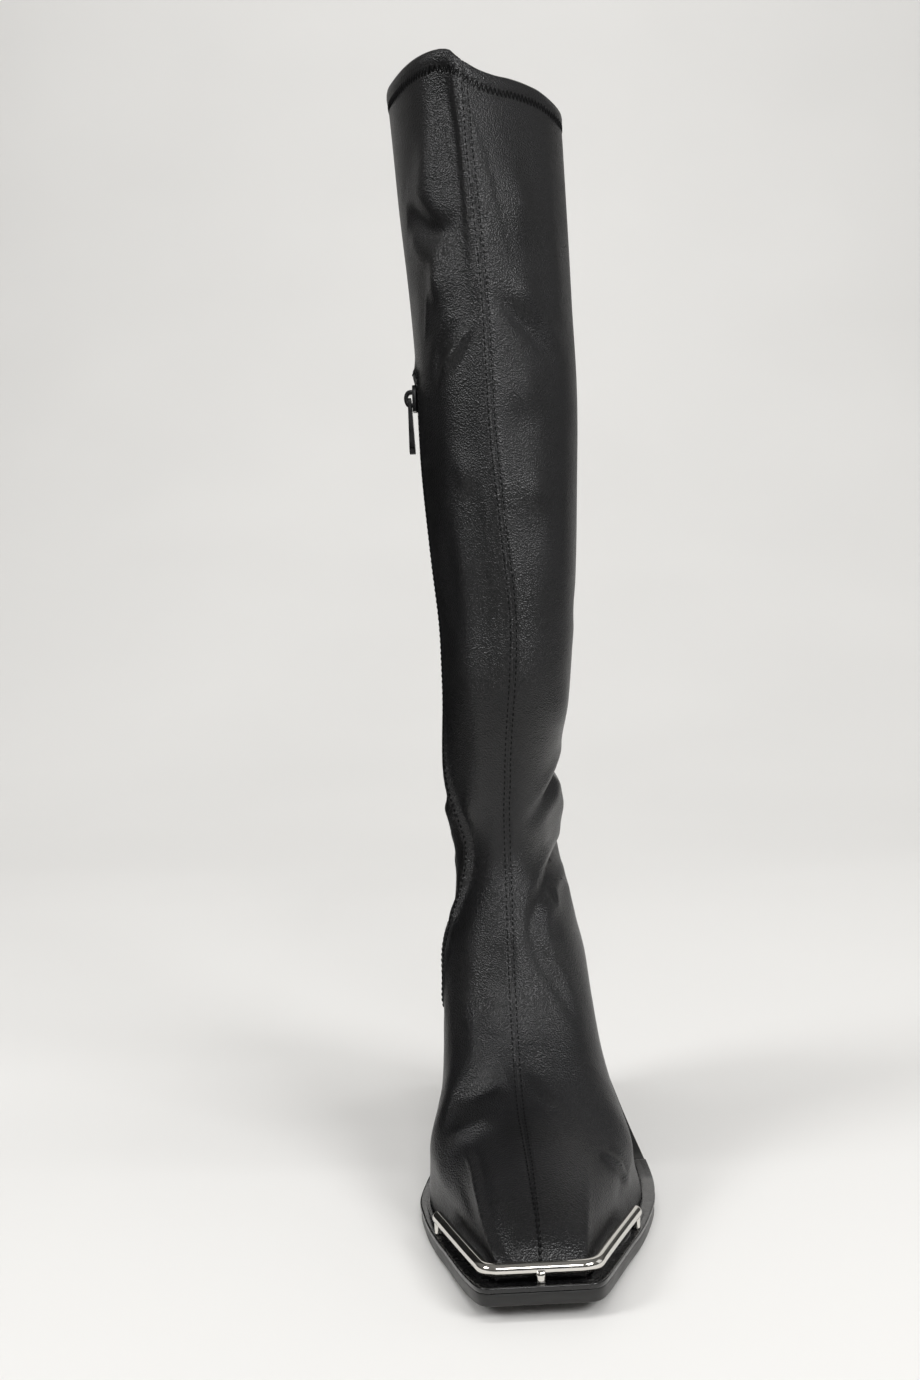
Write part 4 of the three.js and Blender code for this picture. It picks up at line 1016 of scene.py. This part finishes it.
def sole_ring(y, inner, outer):
    """A cut across the sole at y: rounded at its four corners."""
    insets, drops = np.array(SOLE_ROUNDING)[::-1].T
    front_drop = np.interp(y - front_y, insets, drops)
    high, low = outsole_top(y) - front_drop, outsole_bottom(y) + front_drop
    most = (outer - inner) / 2 - 0.05
    corner = [(min(inset, most), drop) for inset, drop in SOLE_ROUNDING]
    ring = [(outer - inset, high - drop) for inset, drop in corner]
    ring += [(outer - inset, low + drop) for inset, drop in corner[::-1]]
    ring += [(inner + (outer - inner) * (1 - k / 8), low) for k in range(1, 8)]
    ring += [(inner + inset, low + drop) for inset, drop in corner]
    ring += [(inner + inset, high - drop) for inset, drop in corner[::-1]]
    ring += [(inner + (outer - inner) * k / 8, high) for k in range(1, 8)]
    return [(x, y, z) for x, z in ring]


edge, _ = forefoot_edge(BREAST_Y - 0.3, SOLE_INSET, 0.9)
middle = len(edge) // 2
outer_line, inner_line = edge[:middle], edge[:-middle - 1:-1]
front_y = edge[:, 1].min()
cuts = np.unique(np.concatenate([
    np.linspace(BREAST_Y - 0.3, front_y + 14, 130), front_y + 14 * (1 - np.linspace(0, 1, 46)[1:]) ** 2 + 0.02,
    np.linspace(SOLE_STEP[0], SOLE_STEP[1], 5)]))[::-1]
outer_at = np.interp(cuts, outer_line[::-1, 1], outer_line[::-1, 0])
inner_at = np.interp(cuts, inner_line[::-1, 1], inner_line[::-1, 0])
sole_rings = slanted(np.array([sole_ring(*cut) for cut in zip(cuts, inner_at, outer_at)]))
outsole = ring_piece("outsole_leather", np.swapaxes(sole_rings, 0, 1))

# Edge dressing over the welt: glossy black ink, burnished, with faint brush strokes along the edge.
gloss_ink, shader = new_material("glossy_edge_ink")
place = add_node(gloss_ink, "ShaderNodeTexCoord").outputs["Object"]
strokes = add_node(gloss_ink, "ShaderNodeTexNoise", {"Vector": place, "Scale": 240.0,
                                                     "Detail": 3.0}).outputs["Fac"]
tone = add_node(gloss_ink, "ShaderNodeValToRGB", {"Fac": strokes}, stops=((0.3, "#0a0a0b"), (0.7, "#131314")))
gloss = add_node(gloss_ink, "ShaderNodeMapRange", {"Value": strokes, "From Min": 0.3, "From Max": 0.7,
                                                   "To Min": 0.2, "To Max": 0.32})
dimples = add_node(gloss_ink, "ShaderNodeBump", {"Height": strokes, "Strength": 0.3, "Distance": 0.0001})
set_inputs(gloss_ink, shader, {"Base Color": tone.outputs["Color"], "Roughness": gloss.outputs["Result"],
                               "Normal": dimples.outputs["Normal"], "Coat Weight": 0.2, "Coat Roughness": 0.08})
welt.data.materials.append(gloss_ink)
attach(welt, "boot")
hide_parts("welt")

# The sole: a hard leather unit, sanded and stained black. Its edge is satin, its layers show as fine level lines.
stained, shader = new_material("stained_sole_leather")
place = add_node(stained, "ShaderNodeTexCoord").outputs["Object"]
layered = add_node(stained, "ShaderNodeMapping", {"Vector": place, "Scale": (1, 1, 9)}).outputs["Vector"]
fibres = add_node(stained, "ShaderNodeTexNoise", {"Vector": layered, "Scale": 90.0, "Detail": 5.0,
                                                  "Roughness": 0.65}).outputs["Fac"]
tone = add_node(stained, "ShaderNodeValToRGB", {"Fac": fibres}, stops=((0.3, "#131313"), (0.7, "#222221")))
gloss = add_node(stained, "ShaderNodeMapRange", {"Value": fibres, "From Min": 0.3, "From Max": 0.7,
                                                 "To Min": 0.3, "To Max": 0.46})
sanded = add_node(stained, "ShaderNodeBump", {"Height": fibres, "Strength": 0.3, "Distance": 0.0002})
set_inputs(stained, shader, {"Base Color": tone.outputs["Color"], "Roughness": gloss.outputs["Result"],
                             "Normal": sanded.outputs["Normal"]})
outsole.data.materials.append(stained)
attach(outsole, "boot")
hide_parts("outsole")

# ---------------------------------------------------------------- heel
# A high block heel wrapped in the upper's leather, over a thin rubber top piece. Its breast is flat, its back is
# curved in plan and it narrows to the ground; the cover is glued and its joint lies behind the breast's edge.
HEEL_BOTTOM_LENGTH, HEEL_BOTTOM_WIDTH = 0.88, 0.93
HEEL_SPARE_TOP = 2
TOP_PIECE = 5.2
TOP_PIECE_INSET = 0.35


def heel_plan(spacing=0.8):
    """The heel's outline at the seat, as a closed line: outer side, back, inner side and the flat breast."""
    y = np.linspace(BREAST_Y, OUTLINE[-1, 0], 300)
    outer = np.stack([smooth_along(OUTLINE, y, 2), y], -1)
    inner = np.stack([smooth_along(OUTLINE, y, 1), y], -1)[::-1]
    start = np.array([[0.0, BREAST_Y]])
    line = rounded_corners(even_spacing(np.concatenate([start, outer, inner, start]), spacing), 5)
    return line[:-1]


def heel_ring(plan, z, inset=0.0):
    """The plan drawn in towards the ground, at z or at the heights given for its points."""
    t = z / (sole_top(OUTLINE[-1, 0]) + HEEL_SPARE_TOP)
    length = HEEL_BOTTOM_LENGTH + (1 - HEEL_BOTTOM_LENGTH) * t ** 1.5
    width = HEEL_BOTTOM_WIDTH + (1 - HEEL_BOTTOM_WIDTH) * t
    around = np.roll(plan, -1, 0) - np.roll(plan, 1, 0)
    inwards = unit(np.stack([-around[:, 1], around[:, 0]], -1))
    places = plan + inwards * inset
    ring = np.stack([places[:, 0] * width, BREAST_Y + (places[:, 1] - BREAST_Y) * length], -1)
    return np.concatenate([ring, np.broadcast_to(z, len(ring))[:, None]], -1)


def loft_faces(grid, first=0):
    """Faces of a closed solid from rings of points, with both ends filled; first is the first point's number."""
    numbers = first + np.arange(grid.shape[0] * grid.shape[1]).reshape(grid.shape[:2])
    numbers = np.concatenate([numbers, numbers[:, :1]], 1)
    return grid_faces(numbers) + [[int(v) for v in numbers[0, :-1][::-1]], [int(v) for v in numbers[-1, :-1]]]


def lofted_piece(name, ring_list):
    """A closed solid from rings, with its first and last ring filled towards their middles."""
    rings_of = [ring_list[0] * 0.5 + ring_list[0].mean(0) * 0.5, *ring_list]
    rings_of.append(ring_list[-1] * 0.5 + ring_list[-1].mean(0) * 0.5)
    grid = np.array(rings_of)
    return mesh_piece(name, grid.reshape(-1, 3), loft_faces(grid))


plan = heel_plan()
seat = sole_top(plan[:, 1]) - 0.12
cover_rings = [heel_ring(plan, np.full(len(plan), TOP_PIECE + up), inset)
               for inset, up in ((0.7, 0.1), (0.3, 0.16), (0.08, 0.4), (0, 0.8))]
cover_rings += [heel_ring(plan, TOP_PIECE + 0.8 + (seat - TOP_PIECE - 1.4) * share) for share in
                np.linspace(0, 1, 60)[1:]]
cover_rings += [heel_ring(plan, seat - drop, inset) for inset, drop in ((0.1, 0.3), (0.35, 0.06), (0.8, 0))]
heel_cover = lofted_piece("heel_cover", cover_rings)
top_piece = lofted_piece("heel_top_piece", [
    heel_ring(plan, np.full(len(plan), z), TOP_PIECE_INSET + inset)
    for z, inset in ((0, 0.9), (0.06, 0.4), (0.3, 0.1), (0.8, 0), (2.6, 0), (TOP_PIECE - 0.5, 0),
                     (TOP_PIECE - 0.1, 0.1), (TOP_PIECE, 0.5))])
heel_cover.data.materials.append(leather)
# Black rubber, moulded: matt with a fine dusty grain.
rubber, shader = new_material("moulded_rubber")
place = add_node(rubber, "ShaderNodeTexCoord").outputs["Object"]
dust = add_node(rubber, "ShaderNodeTexNoise", {"Vector": place, "Scale": 700.0, "Detail": 3.0}).outputs["Fac"]
tone = add_node(rubber, "ShaderNodeValToRGB", {"Fac": dust}, stops=((0.35, "#141414"), (0.7, "#202020")))
grainy = add_node(rubber, "ShaderNodeBump", {"Height": dust, "Strength": 0.4, "Distance": 0.0002})
set_inputs(rubber, shader, {"Base Color": tone.outputs["Color"], "Roughness": 0.6,
                            "Normal": grainy.outputs["Normal"]})
top_piece.data.materials.append(rubber)
for piece, slot in ((heel_cover, "leather"), (top_piece, "sole")):
    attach(piece, "boot")
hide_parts("heel")

# ---------------------------------------------------------------- insole
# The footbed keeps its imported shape: brushed lining leather over a stiff board, seen only from above.
lining_leather, shader = new_material("brushed_lining_leather")
place = add_node(lining_leather, "ShaderNodeTexCoord").outputs["Object"]
nap = add_node(lining_leather, "ShaderNodeTexNoise", {"Vector": place, "Scale": 420.0,
                                                      "Detail": 4.0}).outputs["Fac"]
tone = add_node(lining_leather, "ShaderNodeValToRGB", {"Fac": nap}, stops=((0.3, "#211f1e"), (0.7, "#302d2b")))
napped = add_node(lining_leather, "ShaderNodeBump", {"Height": nap, "Strength": 0.4, "Distance": 0.0003})
set_inputs(lining_leather, shader, {"Base Color": tone.outputs["Color"], "Roughness": 0.7,
                                    "Normal": napped.outputs["Normal"]})
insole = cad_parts["insole"]
insole.data.materials.clear()
insole.data.materials.append(lining_leather)
# The upper's own inside is lined with the same.
upper.data.materials.append(lining_leather)
for face in upper.data.polygons:
    face.material_index = int(min(face.vertices) >= outside.shape[0] * columns)

# ---------------------------------------------------------------- toe rail
# A round bar bent round the toe, standing clear of it on a post in front and on a lug at each end, brazed into one
# piece and polished bright.
RAIL_HALF_FRONT, RAIL_SIDE, RAIL_SPLAY_DEG, RAIL_BEND = 19.35, 61, 18.8, 6
RAIL_RADIUS, RAIL_FRONT_Y, RAIL_FRONT_Z, RAIL_END_Z = 2.35, -228, 16.8, 13.6
FRONT_POST_OUT, POST_RADIUS = 1.2, 1.65
LUG_INSET, LUG_LENGTH, LUG_WIDTH = 1.9, 3.4, 3.2
POST_SIDES, POST_POWER, POST_GAP = 24, 0.62, 0.05      # the gap is under its foot
RAIL_DOME = 0.6                                        # how far the bar's rounded ends stand out, in radii
BAR_SIDES = 32


def rail_line():
    """The bar's centre line from its inner end round the toe to its outer end."""
    splay = math.radians(RAIL_SPLAY_DEG)
    back = np.array([math.sin(splay), math.cos(splay)])
    bend_turn = math.pi / 2 - splay
    set_back = RAIL_BEND * math.tan(bend_turn / 2)
    angles = -math.pi / 2 + bend_turn * np.linspace(0, 1, 17)
    bend = np.stack([RAIL_HALF_FRONT - set_back + RAIL_BEND * np.cos(angles),
                     RAIL_BEND + RAIL_BEND * np.sin(angles)], -1)
    end = back * (RAIL_SIDE - RAIL_RADIUS * RAIL_DOME) + [RAIL_HALF_FRONT, 0]
    half = np.concatenate([[[0, 0]], bend, [end]])
    plan = np.concatenate([half[:0:-1] * [-1, 1], half])
    plan = rounded_corners(even_spacing(plan, 0.8), 3)
    z = RAIL_FRONT_Z + (RAIL_END_Z - RAIL_FRONT_Z) * plan[:, 1] / (RAIL_SIDE * back[1])
    return slanted(np.stack([plan[:, 0], RAIL_FRONT_Y + plan[:, 1], z], -1))


def swept_rings(line, radii, sides=BAR_SIDES, flat=1.0):
    """Rings round a line: flat is the share of the radius that is kept across the line's level way."""
    tangent = unit(np.gradient(line, axis=0))
    level = unit(np.cross([0.0, 0.0, 1.0], tangent))
    upwards = np.cross(tangent, level)
    turn = np.arange(sides) / sides * 2 * math.pi
    radii = np.asarray(radii)[:, None, None]
    return line[:, None] + radii * (level[:, None] * np.cos(turn)[:, None] * flat
                                    + upwards[:, None] * np.sin(turn)[:, None])


bar_line = rail_line()
dome = np.radians([78, 60, 42, 22])
start_way, end_way = unit(bar_line[0] - bar_line[1]), unit(bar_line[-1] - bar_line[-2])
ends = np.sin(dome)[:, None] * RAIL_RADIUS * RAIL_DOME
bar_points = np.concatenate([bar_line[0] + start_way * ends, bar_line, (bar_line[-1] + end_way * ends)[::-1]])
bar_radii = np.concatenate([np.cos(dome), np.ones(len(bar_line)), np.cos(dome)[::-1]]) * RAIL_RADIUS
parts = [swept_rings(bar_points, bar_radii)]


def post_rings(top, foot_z, along, half_long, half_wide):
    """An upright post of rounded cross-section under the bar, a little wider where it is brazed on."""
    turn = np.arange(POST_SIDES) / POST_SIDES * 2 * math.pi
    across = np.array([-along[1], along[0]])
    shape = (np.sign(np.cos(turn)) * np.abs(np.cos(turn)) ** POST_POWER)[:, None] * along * half_long
    shape = shape + (np.sign(np.sin(turn)) * np.abs(np.sin(turn)) ** POST_POWER)[:, None] * across * half_wide
    made = []
    tall = top[2] - foot_z
    for up, grow in ((0, 0.8), (0.12, 1.0), (0.45, 1.02), (0.9, 1), (0.5 * tall, 1), (tall, 1)):
        made.append(np.concatenate([top[:2] + shape * grow, np.full((len(turn), 1), foot_z + up)], 1))
    return np.array(made)


front_post = np.array([0, RAIL_FRONT_Y - FRONT_POST_OUT, RAIL_FRONT_Z])
parts.append(post_rings(front_post, sole_top(front_post[1]) + POST_GAP, np.array([1.0, 0.0]),
                        POST_RADIUS, POST_RADIUS))
for end, way in ((bar_line[0], start_way), (bar_line[-1], end_way)):
    foot = end - way * (LUG_INSET - RAIL_RADIUS * RAIL_DOME)
    parts.append(post_rings(foot, sole_top(foot[1]) + POST_GAP, unit(way[:2]), LUG_LENGTH / 2, LUG_WIDTH / 2))
rail_points, rail_faces = [], []
for part in parts:
    rail_faces += loft_faces(part, sum(len(points) for points in rail_points))
    rail_points.append(part.reshape(-1, 3))
rail = mesh_piece("toe_rail_bar", np.concatenate(rail_points), rail_faces)

# Stainless steel, ground and polished along its length: bright, with faint hairlines and a few finger marks.
steel, shader = new_material("polished_stainless_steel")
place = add_node(steel, "ShaderNodeTexCoord").outputs["Object"]
marks = add_node(steel, "ShaderNodeTexNoise", {"Vector": place, "Scale": 130.0, "Detail": 3.0}).outputs["Fac"]
hairs = add_node(steel, "ShaderNodeTexNoise", {"Vector": place, "Scale": 900.0, "Detail": 2.0}).outputs["Fac"]
gloss = add_node(steel, "ShaderNodeMapRange", {"Value": marks, "From Min": 0.35, "From Max": 0.7,
                                               "To Min": 0.07, "To Max": 0.16})
hairlines = add_node(steel, "ShaderNodeBump", {"Height": hairs, "Strength": 0.15, "Distance": 0.00005})
set_inputs(steel, shader, {"Base Color": linear("#dcd9d3"), "Metallic": 1.0,
                           "Roughness": gloss.outputs["Result"], "Normal": hairlines.outputs["Normal"]})
rail.data.materials.append(steel)
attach(rail, "boot")
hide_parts("toe_rail")

# ---------------------------------------------------------------- floor and light
# A pale sweep of painted board, narrow in front, under plain soft light: soft boxes overhead, to the left, in
# front and to the right, a wash on the wall behind, and a pale room that is dimmer in the leather's reflections.
SWEEP_FRONT, SWEEP_BEND_FROM, SWEEP_RADIUS, SWEEP_TOP = -0.6, 1.0, 2.6, 5.0
SWEEP_HALF_WIDTH, SWEEP_WIDENING = 0.42, 0.36       # at its front, and how much more per metre of depth
profile = [(SWEEP_FRONT, 0), (SWEEP_BEND_FROM, 0)]
for k in range(1, 25):
    turn = k / 24 * math.pi / 2
    profile.append((SWEEP_BEND_FROM + SWEEP_RADIUS * math.sin(turn), SWEEP_RADIUS * (1 - math.cos(turn))))
profile.append((SWEEP_BEND_FROM + SWEEP_RADIUS, SWEEP_TOP))
sweep_points = []
for y, z in profile:
    half_width = SWEEP_HALF_WIDTH + SWEEP_WIDENING * (y - SWEEP_FRONT)
    sweep_points += [(-half_width, y, z), (half_width, y, z)]
sweep_faces = [(2 * k, 2 * k + 1, 2 * k + 3, 2 * k + 2) for k in range(len(profile) - 1)]
sweep_mesh = bpy.data.meshes.new("floor_sweep")
sweep_mesh.from_pydata(sweep_points, [], sweep_faces)
sweep_mesh.shade_smooth()
sweep = bpy.data.objects.new("floor_sweep", sweep_mesh)
bpy.context.collection.objects.link(sweep)
paint, shader = new_material("matte_white_paint")
place = add_node(paint, "ShaderNodeTexCoord").outputs["Object"]
mottle = add_node(paint, "ShaderNodeTexNoise", {"Vector": place, "Scale": 1.4, "Detail": 2.0}).outputs["Fac"]
tone = add_node(paint, "ShaderNodeValToRGB", {"Fac": mottle}, stops=((0.3, "#e2e1df"), (0.7, "#e6e5e3")))
set_inputs(paint, shader, {"Base Color": tone.outputs["Color"], "Roughness": 0.75})
sweep_mesh.materials.append(paint)

# A black flag stands where the pair's other boot would. Only the leather's reflections show it.
FLAG_X, FLAG_FRONT_Y, FLAG_BACK_Y, FLAG_HEIGHT = -0.2, -0.05, 0.75, 0.42
flag_mesh = bpy.data.meshes.new("flag")
flag_mesh.from_pydata([(FLAG_X, FLAG_FRONT_Y, 0), (FLAG_X, FLAG_BACK_Y, 0), (FLAG_X, FLAG_BACK_Y, FLAG_HEIGHT),
                       (FLAG_X, FLAG_FRONT_Y, FLAG_HEIGHT)], [], [(0, 1, 2, 3)])
flag = bpy.data.objects.new("flag", flag_mesh)
bpy.context.collection.objects.link(flag)
cloth, shader = new_material("black_flag_cloth")
set_inputs(cloth, shader, {"Base Color": linear("#0a0a0a"), "Roughness": 0.9})
flag_mesh.materials.append(cloth)
flag.visible_camera = flag.visible_diffuse = flag.visible_shadow = False


def soft_box(name, place, aim, size, power, mirrored=True):
    """A rectangular lamp; one that is not mirrored lights the floor without a highlight on the leather."""
    data = bpy.data.lights.new(name, "AREA")
    data.shape = "RECTANGLE"
    data.size, data.size_y = size
    data.energy = power
    lamp = bpy.data.objects.new(name, data)
    lamp.location = place
    lamp.rotation_euler = (Vector(aim) - Vector(place)).to_track_quat("-Z", "Y").to_euler()
    lamp.visible_glossy = mirrored
    bpy.context.collection.objects.link(lamp)


soft_box("soft_box_overhead", (0, 0.3, 2.6), (0, 0.3, 0), (4.0, 4.0), 8, mirrored=False)
soft_box("soft_box_left", (-1.5, -0.9, 1.3), (0, -0.1, 0.35), (0.7, 0.7), 15)
soft_box("soft_box_front", (0.15, -1.75, 1.2), (0, -0.1, 0.35), (0.6, 0.5), 9)
soft_box("soft_box_front_right", (1.15, -1.3, 1.2), (0, -0.1, 0.35), (0.8, 0.5), 18)
soft_box("soft_box_right", (1.9, 0.1, 0.8), (0, -0.1, 0.3), (0.9, 1.2), 2.5)
soft_box("wall_wash", (0, -0.6, 3.6), (0, 3.6, 3.0), (3.6, 0.8), 124, mirrored=False)

# How bright the room is: everywhere, to diffuse light, and to the camera.
ROOM_DIM, ROOM_FILL, PALE = 0.04, 0.32, 0.82
world = bpy.data.worlds.new("pale_room")
bpy.context.scene.world = world
world.use_nodes = True
direction = add_node(world, "ShaderNodeTexCoord").outputs["Generated"]
towards = add_node(world, "ShaderNodeSeparateXYZ", {"Vector": direction}).outputs
sideways = add_node(world, "ShaderNodeMath", {0: towards["X"]}, operation="ABSOLUTE").outputs[0]
frontwards = add_node(world, "ShaderNodeMath", {0: towards["Y"], 1: -1.0}, operation="MULTIPLY").outputs[0]
lit = ROOM_DIM
for way, low, high, brighter in (
        (sideways, 0.3, 0.85, 0.04),            # both side walls
        (towards["Z"], 0.75, 1.0, 0.1),         # the ceiling
        (towards["Z"], 0.1, 0.5, 0.1),          # the walls' upper part
        (frontwards, -0.1, 0.7, 0.06)):         # the wall in front
    share = add_node(world, "ShaderNodeMapRange", {
        "Value": way, "From Min": low, "From Max": high, "To Min": 0.0, "To Max": brighter,
    }, interpolation_type="SMOOTHSTEP").outputs["Result"]
    lit = add_node(world, "ShaderNodeMath", {0: share, 1: lit}, operation="ADD").outputs[0]
path = add_node(world, "ShaderNodeLightPath").outputs
lit = add_node(world, "ShaderNodeMix", {0: path["Is Diffuse Ray"], 2: lit, 3: ROOM_FILL}).outputs[0]
lit = add_node(world, "ShaderNodeMix", {0: path["Is Camera Ray"], 2: lit, 3: PALE}).outputs[0]
set_inputs(world, world.node_tree.nodes["Background"], {"Color": linear("#f6f4f0"), "Strength": lit})
bpy.context.scene.view_settings.view_transform = "Standard"
